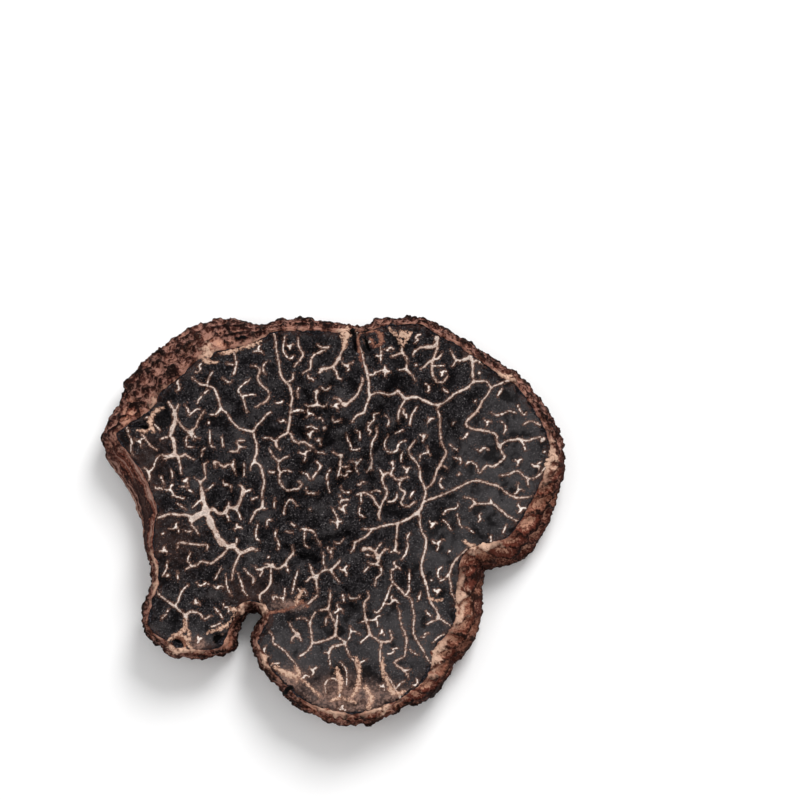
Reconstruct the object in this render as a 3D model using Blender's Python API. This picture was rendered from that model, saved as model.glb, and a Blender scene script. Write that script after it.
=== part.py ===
"""A dried slice of black truffle, lying flat on its wider cut face with the narrower cut face up.

Run it with: blender --background --python part.py

Units are metres and +Z is up. The slice is one closed body with three surfaces that share their
border loops: the upper cut face, with its raised veins and leathery creases; the warty skin that
flares out and down from the cut edge; and the under face, which is flat in the middle, where the
slice rests, and curls up a little towards the rim.

The outline and the veins are read from a picture that looks down on the slice at VIEW_ELEVATION.
Each reading is (right, down) in steps of READING, and on_slice() turns it into a place.
"""

import math

import bmesh
import bpy
import numpy as np
from mathutils import Vector
from mathutils.geometry import delaunay_2d_cdt

MM = 0.001

# Names
NODE_NAME = "truffle_slice"
COLLECTION_NAME = "black_truffle_slice"

# How the readings become sizes
READING = 0.1 * MM
ORIGIN_READING = (331.5, 524.7)
VIEW_ELEVATION = math.radians(78.0)

# Body of the slice
THICKNESS = 4.4 * MM
WIDEST_SHARE = 0.30
UNDER_INSET = 0.75 * MM
LIP_RISE = 0.12 * MM
SKIN_BULGE = 0.30 * MM
LEAST_FLARE = 0.15 * MM
BELOW_BULGE = 0.35

# The flat spot that it rests on, and the curl outside it
FLAT_CENTRE = (0.0, 2.1 * MM)
FLAT_RADIUS = 9.0 * MM
CURL_RADIUS = 23.0 * MM
CURL_RISE = 1.3 * MM

# Leathery swelling of the upper face: (rise, wavelength across, wavelength along, phase)
SWELLS = (
    (0.13 * MM, 7.1 * MM, 9.3 * MM, 0.4),
    (0.09 * MM, 4.3 * MM, 5.2 * MM, 2.1),
)

# Warts of the skin
WART_SEED = 11
WART_ROWS = (0.18, 0.52, 0.86, 1.25)
WART_STEP = 1.50 * MM
LARGE_WART_STEP = 2.00 * MM
WART_JITTER = 0.28
WART_NUDGE = 0.5
STAGGER = 0.5
WART_HEIGHT = 0.60 * MM
WART_RADIUS = 0.66 * MM
WART_SINK = 0.45
LARGE_WART_STRETCH = (0.40, 0.66)
STREAKED_STRETCH = (0.90, 1.0)
STREAK_HEIGHT = 0.10 * MM
STREAKS = 3
STRETCH_BLEND = 0.02

# Mesh density
RIM_STATIONS = 280
SKIN_ROWS = (0.09, 0.18, 0.35, 0.52, 0.69, 0.86, 1.0)
UNDER_ROWS = (0.25, 0.6, 1.0)
SPAN_STEPS = 10
NORMAL_PASSES = 3
PLACE_PASSES = 4
TOP_SPACING = 1.20 * MM
UNDER_SPACING = 2.30 * MM
RIDGE_SPACING = 0.85 * MM
RIDGE_GAP = 0.34 * MM
BORDER_GAP = 0.45 * MM
LATTICE_GAP_SHARE = 0.62
JOIN_TOLERANCE = 1e-9

# Heights of what stands out of the upper face, or is pressed into it
VEIN_HEIGHT = 0.22 * MM
VEIN_HALF_WIDTH = 0.42 * MM
CREASE_HEIGHT = -0.40 * MM
CREASE_HALF_WIDTH = 0.55 * MM

# Edge of the upper face, clockwise from the left tip: (right, down, flare of the skin beyond it)
CUT_EDGE = (
    (114, 434, 14), (125, 425, 20), (147, 410, 35), (160, 391, 35), (178, 376, 36), (190, 363, 33),
    (208, 352, 32), (228, 347, 32), (245, 343, 25), (262, 336, 12), (270, 331, 9), (290, 328, 10),
    (320, 329, 8), (350, 330, 5), (365, 329, 4), (384, 324, 6), (400, 323, 4), (420, 323, 5),
    (434, 330, 6), (455, 341, 6), (470, 352, 8), (494, 369, 8), (515, 382, 8), (529, 399, 9),
    (541, 418, 10), (549, 436, 11), (553, 450, 11), (549, 468, 14), (541, 485, 17), (532, 503, 20),
    (521, 521, 23), (508, 538, 22), (490, 545, 20), (472, 549, 22), (461, 563, 22), (460, 582, 20),
    (458, 600, 20), (458, 618, 19), (447, 634, 22), (435, 652, 20), (433, 668, 13), (420, 684, 12),
    (402, 695, 9), (380, 706, 10), (355, 711, 11), (330, 708, 10), (305, 698, 9), (285, 682, 7),
    (270, 665, 6), (260, 648, 5), (257, 638, 5), (262, 628, 5), (268, 617, 5), (263, 606, 8),
    (252, 601, 11), (241, 608, 8), (234, 620, 6), (230, 632, 7), (226, 643, 8), (213, 648, 4),
    (190, 649, 3), (175, 648, 5), (167, 640, 4), (155, 632, 4), (148, 622, 4), (150, 610, 4),
    (153, 597, 4), (157, 585, 5), (158, 570, 5), (153, 556, 5), (151, 543, 8), (153, 528, 12),
    (155, 511, 20), (151, 494, 20), (142, 476, 21), (132, 460, 22), (121, 447, 20),
)

# Centre lines of the main veins on the upper face
VEINS = {
    "left_wander": ((191, 378), (207, 385), (219, 402), (230, 420), (252, 431), (256, 447), (254, 461),
                    (263, 480), (262, 500), (256, 511), (250, 522)),
    "left_wander_branch": ((252, 431), (262, 419), (269, 412)),
    "left_tip": ((168, 403), (174, 418), (170, 436), (173, 455), (188, 457)),
    "left_tip_branch": ((160, 455), (173, 456)),
    "top_left_drop": ((272, 332), (278, 366), (291, 395), (290, 415), (286, 433), (276, 442)),
    "top_middle_hook": ((347, 332), (338, 359), (319, 371)),
    "left_star_up": ((207, 512), (203, 498), (201, 488)),
    "left_star_left": ((207, 512), (193, 520), (178, 515), (160, 517)),
    "left_star_right": ((207, 512), (228, 508), (241, 497), (242, 486)),
    "left_star_down": ((207, 512), (217, 533), (232, 546), (246, 551), (258, 550)),
    "left_star_foot": ((232, 546), (219, 556), (206, 562), (190, 568)),
    "top_drop": ((357, 332), (363, 361), (369, 390), (364, 413), (352, 423)),
    "upper_arch": ((369, 397), (388, 394), (406, 399), (427, 402), (445, 402), (465, 390), (487, 381)),
    "upper_arch_drop": ((439, 405), (440, 433), (446, 452), (441, 465), (432, 483), (425, 489)),
    "right_stalk": ((471, 356), (473, 374)),
    "right_turn": ((492, 388), (480, 406), (467, 422), (482, 431), (496, 435), (500, 446), (505, 457),
                   (487, 466)),
    "centre_drop": ((415, 441), (409, 452), (418, 466), (425, 489), (421, 508), (413, 516), (387, 525),
                    (366, 530), (351, 552)),
    "right_wave": ((423, 502), (447, 493), (473, 481), (496, 485), (515, 497), (531, 497)),
    "lower_drop": ((413, 516), (421, 528), (426, 547), (421, 565), (429, 594), (438, 616), (427, 624)),
    "top_right_hook": ((419, 348), (434, 350), (432, 370), (443, 382)),
    "right_shelf": ((500, 476), (521, 474), (538, 476), (549, 462)),
    "right_foot": ((464, 498), (492, 504), (515, 519)),
    "centre_hook": ((357, 495), (371, 497), (380, 509), (380, 520)),
    "lower_left": ((158, 590), (176, 605), (187, 615), (202, 614), (212, 615)),
    "lower_star": ((338, 562), (316, 577), (317, 594), (303, 605), (278, 612)),
    "lower_middle": ((328, 608), (336, 623), (336, 633), (313, 641), (298, 655)),
    "lower_tail": ((336, 633), (345, 641), (358, 665), (362, 680)),
    "notch_side": ((270, 630), (287, 651), (300, 668)),
    "lobe_left": ((368, 591), (365, 610), (370, 633), (381, 640), (381, 650), (387, 673), (400, 692)),
    "lobe_right": ((391, 571), (394, 583), (410, 598), (414, 615), (415, 635), (430, 660)),
    "lower_knot": ((363, 549), (378, 558), (388, 549)),
}

# Centre lines of the creases on the upper face
CREASES = {
    "long_crease": ((398, 368), (384, 404), (352, 436), (322, 446), (296, 478)),
    "middle_crease": ((400, 422), (362, 462), (316, 500)),
    "low_crease": ((346, 536), (296, 548)),
}


def clear_scene():
    """Removes whatever the file starts with."""
    for item in list(bpy.data.objects):
        bpy.data.objects.remove(item, do_unlink=True)


def curl(x, y):
    """The height of the under face: nothing on the flat spot, then a growing rise towards the rim."""
    out = np.hypot(x - FLAT_CENTRE[0], y - FLAT_CENTRE[1]) - FLAT_RADIUS
    return CURL_RISE * (np.maximum(out, 0.0) / (CURL_RADIUS - FLAT_RADIUS)) ** 2


def on_slice(right, down, height):
    """The place whose picture is the reading, for material at this height above the under face."""
    x = (right - ORIGIN_READING[0]) * READING
    seen = (ORIGIN_READING[1] - down) * READING
    y = seen.copy()
    for _ in range(PLACE_PASSES):
        y = (seen - (height + curl(x, y)) * math.cos(VIEW_ELEVATION)) / math.sin(VIEW_ELEVATION)
    return np.stack([x, y, height + curl(x, y)], axis=1)


def even_loop(stations, count):
    """A closed Catmull-Rom curve through the stations, at equal steps along its first two columns."""
    before, after = np.roll(stations, 1, axis=0), np.roll(stations, -1, axis=0)
    far = np.roll(stations, -2, axis=0)
    samples = []
    for t in np.linspace(0.0, 1.0, SPAN_STEPS, endpoint=False):
        samples.append(0.5 * (
            2 * stations + (after - before) * t
            + (2 * before - 5 * stations + 4 * after - far) * t**2
            + (3 * stations - before - 3 * after + far) * t**3
        ))
    dense = np.stack(samples, axis=1).reshape(-1, stations.shape[1])
    dense = np.vstack([dense, dense[:1]])
    along = np.concatenate([[0.0], np.cumsum(np.hypot(*np.diff(dense[:, :2], axis=0).T))])
    steps = np.linspace(0.0, along[-1], count, endpoint=False)
    return np.stack([np.interp(steps, along, column) for column in dense.T], axis=1)


def outward(loop):
    """Unit normals of a loop of readings that runs clockwise in the picture, smoothed a little."""
    tangent = np.roll(loop, -1, axis=0) - np.roll(loop, 1, axis=0)
    normal = np.stack([tangent[:, 1], -tangent[:, 0]], axis=1)
    for _ in range(NORMAL_PASSES):
        normal = np.roll(normal, 1, axis=0) + 2 * normal + np.roll(normal, -1, axis=0)
    return normal / np.hypot(*normal.T)[:, None]


def smooth_step(x):
    """Eases 0 to 1 and holds its ends."""
    x = np.clip(x, 0.0, 1.0)
    return x * x * (3 - 2 * x)


def swelling(x, y):
    """The broad swelling of the upper face: a sine across times a cosine along, for each of SWELLS."""
    total = np.zeros_like(x)
    for rise, across, along, phase in SWELLS:
        total += rise * np.sin(math.tau * x / across + phase) * np.cos(math.tau * y / along + 2 * phase)
    return total


def evenly_along(points, spacing):
    """Points at about this spacing along an open line of places."""
    steps = np.hypot(*np.diff(points, axis=0).T)
    along = np.concatenate([[0.0], np.cumsum(steps)])
    count = max(2, round(along[-1] / spacing) + 1)
    at = np.linspace(0.0, along[-1], count)
    return np.stack([np.interp(at, along, column) for column in points.T], axis=1)


def ridge_lines():
    """Each vein and crease as (its line of places, its height, its half width)."""
    height = np.array([THICKNESS])
    kinds = ((VEINS, VEIN_HEIGHT, VEIN_HALF_WIDTH), (CREASES, CREASE_HEIGHT, CREASE_HALF_WIDTH))
    lines = []
    for group, rise, half_width in kinds:
        for readings in group.values():
            right, down = np.array(readings, float).T
            lines.append((on_slice(right, down, height)[:, :2], rise, half_width))
    return lines


def line_distance(points, line):
    """The distance from each point to the nearest stretch of an open line."""
    nearest = np.full(len(points), np.inf)
    for start, end in zip(line[:-1], line[1:]):
        step = end - start
        share = np.clip((points - start) @ step / (step @ step), 0.0, 1.0)
        nearest = np.minimum(nearest, np.hypot(*(points - start - share[:, None] * step).T))
    return nearest


def upper_height(points, lines):
    """The upper face: thickness, curl and swelling, with the veins raised and the creases pressed in."""
    x, y = points.T
    height = THICKNESS + curl(x, y) + swelling(x, y)
    raised, pressed = np.zeros(len(points)), np.zeros(len(points))
    for line, rise, half_width in lines:
        change = rise * smooth_step(1 - line_distance(points, line) / half_width)
        raised, pressed = np.maximum(raised, change), np.minimum(pressed, change)
    return height + raised + pressed


def in_stretch(share, stretch):
    """1 inside a stretch of the rim and 0 outside, with a soft change at both ends."""
    start, end = stretch
    return smooth_step((share - start) / STRETCH_BLEND) * smooth_step((end - share) / STRETCH_BLEND)


def base_rim(share_along, rows):
    """The skin without its warts: loops from the cut edge (row 0) by the widest line (row 1) to row 2,
    the border of the under face. share_along gives the stations round the rim, from 0 to 1."""
    cut, widest, under = rim_guides()
    index = share_along * len(cut)
    loops = []
    for row in rows:
        if row <= 1.0:
            loop = cut + (widest - cut) * row
            away = widest - under
            away = away / np.linalg.norm(away, axis=1)[:, None]
            loop = loop + away * SKIN_BULGE * math.sin(math.pi * row)
        else:
            loop = widest + (under - widest) * (row - 1.0)
            loop[:, :2] += (widest - under)[:, :2] * BELOW_BULGE * math.sin(math.pi * (row - 1.0))
        wrapped = np.vstack([loop, loop[:1]])
        loops.append(np.stack([np.interp(index, np.arange(len(wrapped)), c) for c in wrapped.T], axis=1))
    return loops


def rim_guides():
    """Three loops of places: the cut edge, the widest line of the skin, and the border underneath."""
    loop = even_loop(np.array(CUT_EDGE, float), RIM_STATIONS)
    edge, flare = loop[:, :2], loop[:, 2]
    normal = outward(edge)
    reach = edge + normal * flare[:, None]
    cut = on_slice(*edge.T, np.full(len(edge), THICKNESS))
    cut[:, 2] += swelling(cut[:, 0], cut[:, 1]) + LIP_RISE
    widest = on_slice(*reach.T, np.full(len(edge), THICKNESS * WIDEST_SHARE))
    out = normal * [1.0, -1.0]
    gap = ((widest - cut)[:, :2] * out).sum(axis=1)
    widest[:, :2] += out * np.maximum(LEAST_FLARE - gap, 0.0)[:, None]
    under = widest.copy()
    under[:, :2] -= out * UNDER_INSET
    under[:, 2] = curl(under[:, 0], under[:, 1])
    return cut, widest, under


def wart_centres():
    """Places of the warts: staggered rows round the skin, larger on one stretch, each nudged."""
    draw = np.random.default_rng(WART_SEED)
    widest = rim_guides()[1]
    closed = np.vstack([widest, widest[:1]])
    along = np.concatenate([[0.0], np.cumsum(np.linalg.norm(np.diff(closed, axis=0), axis=1))])
    length = along[-1]
    shares, at = [], 0.0
    while at < length - STAGGER * WART_STEP:
        share = at / length
        shares.append(share)
        at += WART_STEP + (LARGE_WART_STEP - WART_STEP) * float(in_stretch(share, LARGE_WART_STRETCH))
    shares = np.array(shares)
    gap = WART_STEP / length
    centres = []
    for number, row in enumerate(WART_ROWS):
        nudged = shares + gap * (STAGGER * (number % 2) + draw.uniform(-WART_JITTER, WART_JITTER, len(shares)))
        centres.append(base_rim(nudged % 1.0, [row])[0])
    centres = np.vstack(centres)
    return centres + draw.uniform(-WART_JITTER, WART_JITTER, centres.shape) * WART_STEP * WART_NUDGE


def skin_relief(points, share, row, centres):
    """How far the skin stands out of its base: domed warts, or lengthwise streaks on one stretch."""
    apart = np.linalg.norm(points[:, None, :] - centres[None, :, :], axis=2).min(axis=1)
    dome = WART_HEIGHT * (np.exp(-((apart / WART_RADIUS) ** 2)) - WART_SINK)
    streak = STREAK_HEIGHT * math.sin(math.tau * row * STREAKS)
    streaked = in_stretch(share, STREAKED_STRETCH)
    return dome * (1 - streaked) + streak * streaked


def rim_loops():
    """The skin as loops of places, from the cut edge down to the border of the under face."""
    rows = [0.0, *SKIN_ROWS, *(1.0 + row for row in UNDER_ROWS)]
    share = np.arange(RIM_STATIONS) / RIM_STATIONS
    base = base_rim(share, rows)
    centres = wart_centres()
    loops = [base[0]]
    for number in range(1, len(rows) - 1):
        along = np.roll(base[number], -1, axis=0) - np.roll(base[number], 1, axis=0)
        down = base[number + 1] - base[number - 1]
        normal = np.cross(down, along)
        normal /= np.linalg.norm(normal, axis=1)[:, None]
        relief = skin_relief(base[number], share, rows[number], centres)
        loops.append(base[number] + normal * relief[:, None])
    loops.append(base[-1])
    return loops


def inside(points, loop):
    """Whether each point lies inside a closed loop, by counting the edges to its right."""
    hits = np.zeros(len(points), int)
    for (x1, y1), (x2, y2) in zip(loop, np.roll(loop, -1, axis=0)):
        crosses = (points[:, 1] < y1) != (points[:, 1] < y2)
        with np.errstate(divide="ignore", invalid="ignore"):
            at = x1 + (points[:, 1] - y1) * (x2 - x1) / (y2 - y1)
        hits += crosses & (points[:, 0] < at)
    return hits % 2 == 1


def lattice(loop, spacing):
    """A staggered lattice over the loop's box."""
    (x0, y0), (x1, y1) = loop.min(axis=0), loop.max(axis=0)
    rows = np.arange(y0, y1, spacing * math.sqrt(0.75))
    points = []
    for number, y in enumerate(rows):
        x = np.arange(x0 + 0.5 * spacing * (number % 2), x1, spacing)
        points.append(np.stack([x, np.full(len(x), y)], axis=1))
    return np.vstack(points)


def kept_apart(chosen, candidates, gap):
    """The candidates, one after the other, that stay this far from everything chosen before."""
    count = len(chosen)
    places = np.vstack([chosen, candidates])
    for candidate in candidates:
        if np.hypot(*(places[:count] - candidate).T).min() >= gap:
            places[count] = candidate
            count += 1
    return places[:count]


def ridge_points(lines, loop):
    """Points on the ridges and on both of their feet, inside the loop."""
    centre_points, foot_points = [], []
    for line, _, half_width in lines:
        points = evenly_along(line, RIDGE_SPACING)
        tangent = np.gradient(points, axis=0)
        tangent /= np.hypot(*tangent.T)[:, None]
        side = np.stack([-tangent[:, 1], tangent[:, 0]], axis=1) * half_width
        centre_points.append(points)
        foot_points += [points + side, points - side]
    groups = []
    for group in (np.vstack(centre_points), np.vstack(foot_points)):
        groups.append(group[inside(group, loop)])
    return groups


def face_points(loop, spacing, lines):
    """Points inside a face: those of its ridges first, then a lattice that keeps clear of them."""
    chosen = loop
    if lines:
        for group in ridge_points(lines, loop):
            chosen = kept_apart(chosen, group, RIDGE_GAP)
    spread = lattice(loop, spacing)
    spread = spread[inside(spread, loop)]
    chosen = kept_apart(chosen, spread, min(LATTICE_GAP_SHARE * spacing, BORDER_GAP + 0.5 * spacing))
    return chosen[len(loop):]


def fill_face(bm, border, inner, heights):
    """Joins a border loop of vertices with points inside it, by a Delaunay triangulation."""
    count = len(border)
    flat = [Vector(vertex.co[:2]) for vertex in border] + [Vector(point) for point in inner]
    edges = [(i, (i + 1) % count) for i in range(count)]
    vertices = list(border)
    for (x, y), z in zip(inner, heights):
        vertices.append(bm.verts.new((x, y, z)))
    _, _, faces, origins, _, _ = delaunay_2d_cdt(flat, edges, [], 1, JOIN_TOLERANCE)
    for face in faces:
        bm.faces.new([vertices[origins[corner][0]] for corner in face])


def build_slice():
    """The closed body: the skin's loops, and both faces filled in between them."""
    bm = bmesh.new()
    loops = [[bm.verts.new(place) for place in loop] for loop in rim_loops()]
    for upper, lower in zip(loops[:-1], loops[1:]):
        for i in range(RIM_STATIONS):
            j = (i + 1) % RIM_STATIONS
            bm.faces.new((upper[i], upper[j], lower[j], lower[i]))
    lines = ridge_lines()
    cut = np.array([vertex.co[:2] for vertex in loops[0]])
    inner = face_points(cut, TOP_SPACING, lines)
    fill_face(bm, loops[0], inner, upper_height(inner, lines))
    under = np.array([vertex.co[:2] for vertex in loops[-1]])
    inner = face_points(under, UNDER_SPACING, [])
    fill_face(bm, loops[-1], inner, curl(*inner.T))
    bmesh.ops.triangulate(bm, faces=bm.faces)
    bmesh.ops.recalc_face_normals(bm, faces=bm.faces)
    mesh = bpy.data.meshes.new(NODE_NAME)
    bm.to_mesh(mesh)
    bm.free()
    mesh.shade_smooth()
    return bpy.data.objects.new(NODE_NAME, mesh)


def dried_truffle():
    """Near-black, matt dried flesh and skin."""
    material = bpy.data.materials.new("dried_truffle")
    material.use_nodes = True
    shader = material.node_tree.nodes["Principled BSDF"]
    shader.inputs["Base Color"].default_value = (0.030, 0.025, 0.024, 1.0)
    shader.inputs["Roughness"].default_value = 0.85
    return material


def main():
    """Builds the slice and puts it into its collection."""
    clear_scene()
    collection = bpy.data.collections.new(COLLECTION_NAME)
    bpy.context.scene.collection.children.link(collection)
    truffle_slice = build_slice()
    truffle_slice.data.materials.append(dried_truffle())
    collection.objects.link(truffle_slice)


main()
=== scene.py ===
"""The looks of a dried slice of black truffle, lying flat with its veined cut face up.

The slice is dressed with three closed pieces that stand for the CAD solid and share its named sizes:
an upper and an under sheet of flesh, whose veins, creases and leathery grain are worked out on a fine
lattice, and a ring of warty skin round them, whose lips cover the borders of both sheets.

Veins and outline are stations that were read off, written as right and down in steps of READING, a tenth of
a millimetre on the slice. Everything is in metres, in the frame of the part, with +Z up.
"""

from __future__ import annotations

import logging
import math
from dataclasses import dataclass, field
from enum import Enum

import bpy
import numpy as np
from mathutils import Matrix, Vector

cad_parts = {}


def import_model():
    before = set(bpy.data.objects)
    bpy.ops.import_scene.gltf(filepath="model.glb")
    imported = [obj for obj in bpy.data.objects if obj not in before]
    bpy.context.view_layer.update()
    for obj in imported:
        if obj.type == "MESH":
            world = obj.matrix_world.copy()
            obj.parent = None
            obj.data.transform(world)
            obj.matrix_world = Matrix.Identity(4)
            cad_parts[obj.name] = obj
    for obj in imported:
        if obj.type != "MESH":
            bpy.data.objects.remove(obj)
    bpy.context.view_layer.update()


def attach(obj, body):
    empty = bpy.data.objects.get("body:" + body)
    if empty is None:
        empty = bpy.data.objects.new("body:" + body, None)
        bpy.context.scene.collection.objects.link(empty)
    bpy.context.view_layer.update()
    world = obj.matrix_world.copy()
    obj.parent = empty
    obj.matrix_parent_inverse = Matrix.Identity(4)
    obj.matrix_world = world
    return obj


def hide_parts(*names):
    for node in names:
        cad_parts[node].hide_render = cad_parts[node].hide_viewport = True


LOG = logging.getLogger("truffle")

MM = 0.001
NODE_NAME = "truffle_slice"

# How the readings become sizes
READING = 0.1 * MM
ORIGIN_READING = (331.5, 524.7)
VIEW_ELEVATION = math.radians(78.0)

# Body of the slice, as in the solid
THICKNESS = 4.4 * MM
WIDEST_SHARE = 0.30
UNDER_INSET = 0.75 * MM
LIP_RISE = 0.06 * MM
SKIN_BULGE = 0.30 * MM
LEAST_FLARE = 0.15 * MM
BELOW_BULGE = 0.35
FLAT_CENTRE = (0.0, 2.1 * MM)
FLAT_RADIUS = 9.0 * MM
CURL_RADIUS = 23.0 * MM
CURL_RISE = 1.3 * MM
SWELLS = (
    (0.13 * MM, 7.1 * MM, 9.3 * MM, 0.4),
    (0.09 * MM, 4.3 * MM, 5.2 * MM, 2.1),
)

# Edge of the upper face, clockwise from the left tip: (right, down, flare of the skin beyond it)
CUT_EDGE = (
    (114, 434, 14), (125, 425, 20), (147, 410, 35), (160, 391, 35), (178, 376, 36), (190, 363, 33),
    (208, 352, 32), (228, 347, 32), (245, 343, 25), (262, 336, 12), (270, 331, 9), (290, 328, 10),
    (320, 329, 8), (350, 330, 5), (365, 329, 4), (384, 324, 6), (400, 323, 4), (420, 323, 5),
    (434, 330, 6), (455, 341, 6), (470, 352, 8), (494, 369, 8), (515, 382, 8), (529, 399, 9),
    (541, 418, 10), (549, 436, 11), (553, 450, 11), (549, 468, 14), (541, 485, 17), (532, 503, 20),
    (521, 521, 23), (508, 538, 22), (490, 545, 20), (472, 549, 22), (461, 563, 22), (460, 582, 20),
    (458, 600, 20), (458, 618, 19), (447, 634, 22), (435, 652, 20), (433, 668, 13), (420, 684, 12),
    (402, 695, 9), (380, 706, 10), (355, 711, 11), (330, 708, 10), (305, 698, 9), (285, 682, 7),
    (270, 665, 6), (260, 648, 5), (257, 638, 5), (262, 628, 5), (268, 617, 5), (263, 606, 8),
    (252, 601, 11), (241, 608, 8), (234, 620, 6), (230, 632, 7), (226, 643, 8), (213, 648, 4),
    (190, 649, 3), (175, 648, 5), (167, 640, 4), (155, 632, 4), (148, 622, 4), (150, 610, 4),
    (153, 597, 4), (157, 585, 5), (158, 570, 5), (153, 556, 5), (151, 543, 8), (153, 528, 12),
    (155, 511, 20), (151, 494, 20), (142, 476, 21), (132, 460, 22), (121, 447, 20),
)


class Mark(Enum):
    """What a drawn line on a cut face is made of."""

    VEIN = "vein"
    TAN = "tan"
    SKIN = "skin"
    CRACK = "crack"
    CREASE = "crease"


class Side(Enum):
    """Which of the two cut faces a sheet of flesh shows."""

    UPPER = 1
    UNDER = -1


class Fleck(Enum):
    """The short marks that fill the flesh between the long veins."""

    DASH = 0
    FORK = 1
    HOOK = 2
    ZIGZAG = 3
    DOT = 4


class Noise(Enum):
    """The noises of a finish, from the broadest to the finest."""

    BROAD = "broad"
    MIDDLE = "middle"
    FINE = "fine"
    DUST = "dust"


class Loop(Enum):
    """The guide loops of the skin."""

    CUT = "cut edge"
    WIDEST = "widest line"
    UNDER = "border underneath"


# Pale veins, by region of the upper face. Each is its width, then the right and down of every station.
VEINS_UPPER_LEFT = (
    (2.2, 272, 332, 274, 340, 277, 358, 280, 375, 285, 382, 289, 386, 291, 395, 291, 405, 288, 425,
     286, 433, 280, 437, 276, 442, 277, 447, 280, 450),
    (1.8, 285, 382, 292, 380, 293, 373),
    (1.6, 276, 442, 268, 438, 263, 439),
    (1.8, 286, 433, 290, 434, 292, 440, 298, 443, 303, 441, 308, 445, 313, 448),
    (1.6, 284, 335, 283, 343, 282, 350, 285, 355, 290, 358, 293, 355),
    (1.8, 297, 337, 297, 344, 300, 350, 302, 354, 298, 361, 294, 366),
    (1.8, 316, 344, 322, 347, 328, 347, 321, 351, 313, 355, 310, 362, 309, 369, 302, 374),
    (3.2, 347, 332, 345, 345, 341, 352, 338, 359, 333, 366, 327, 368, 321, 369, 319, 373),
    (2.2, 333, 366, 336, 372, 338, 378, 341, 379),
    (1.6, 233, 351, 235, 358, 235, 365, 232, 374),
    (1.8, 251, 366, 256, 367, 259, 371, 257, 378, 260, 384, 267, 391, 268, 397, 264, 402, 255, 407),
    (1.6, 249, 379, 243, 384, 238, 389, 238, 393, 243, 397, 250, 395, 254, 395),
    (1.6, 243, 397, 243, 404, 246, 413),
    (2.0, 191, 378, 198, 383, 207, 385, 212, 388, 216, 395, 220, 408, 225, 413, 230, 420, 237, 427,
     245, 430, 252, 431, 256, 426, 262, 419, 269, 412),
    (2.2, 252, 431, 254, 437, 256, 447, 256, 455, 254, 461, 260, 466, 262, 473, 264, 484, 262, 492,
     262, 507, 256, 511, 252, 518, 250, 522),
    (1.6, 254, 461, 251, 466, 250, 470),
    (1.6, 207, 385, 207, 378, 211, 372),
    (1.6, 220, 408, 216, 414, 210, 415),
    (1.4, 262, 507, 266, 509),
    (4.2, 168, 403, 173, 412, 174, 418, 173, 424, 171, 431, 170, 436, 173, 440, 174, 448, 173, 455),
    (1.8, 178, 405, 174, 412),
    (1.8, 140, 432, 145, 439, 150, 446, 156, 450),
    (1.6, 126, 428, 129, 435, 131, 443, 130, 450, 134, 457),
    (1.8, 170, 436, 163, 438, 160, 440),
    (2.4, 173, 455, 167, 456, 160, 455),
    (1.8, 173, 455, 167, 458, 163, 459),
    (2.0, 173, 455, 180, 457, 184, 455, 188, 457, 193, 460),
    (1.8, 176, 457, 178, 460, 180, 467, 181, 475),
    (1.8, 174, 418, 180, 425, 186, 431, 190, 432, 195, 426, 198, 419, 203, 411),
    (1.6, 190, 432, 195, 437, 199, 439),
    (1.6, 184, 404, 187, 410, 188, 415, 193, 411, 199, 409),
    (1.6, 193, 440, 190, 436, 186, 437, 185, 442, 187, 447, 193, 448),
    (1.6, 209, 431, 209, 438, 210, 446, 214, 448),
    (1.4, 221, 437, 222, 447),
    (1.4, 205, 448, 202, 450, 201, 457),
    (1.8, 244, 441, 236, 442, 238, 447, 237, 451, 232, 452, 229, 452),
    (1.4, 238, 447, 244, 448),
    (1.8, 215, 468, 214, 462, 218, 463, 223, 467, 228, 465, 232, 467, 235, 473),
    (1.4, 232, 467, 233, 460),
    (1.4, 243, 464, 244, 476),
    (1.8, 208, 462, 204, 465, 205, 473, 205, 478, 201, 483, 201, 491),
    (1.4, 194, 478, 201, 483),
)
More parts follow.
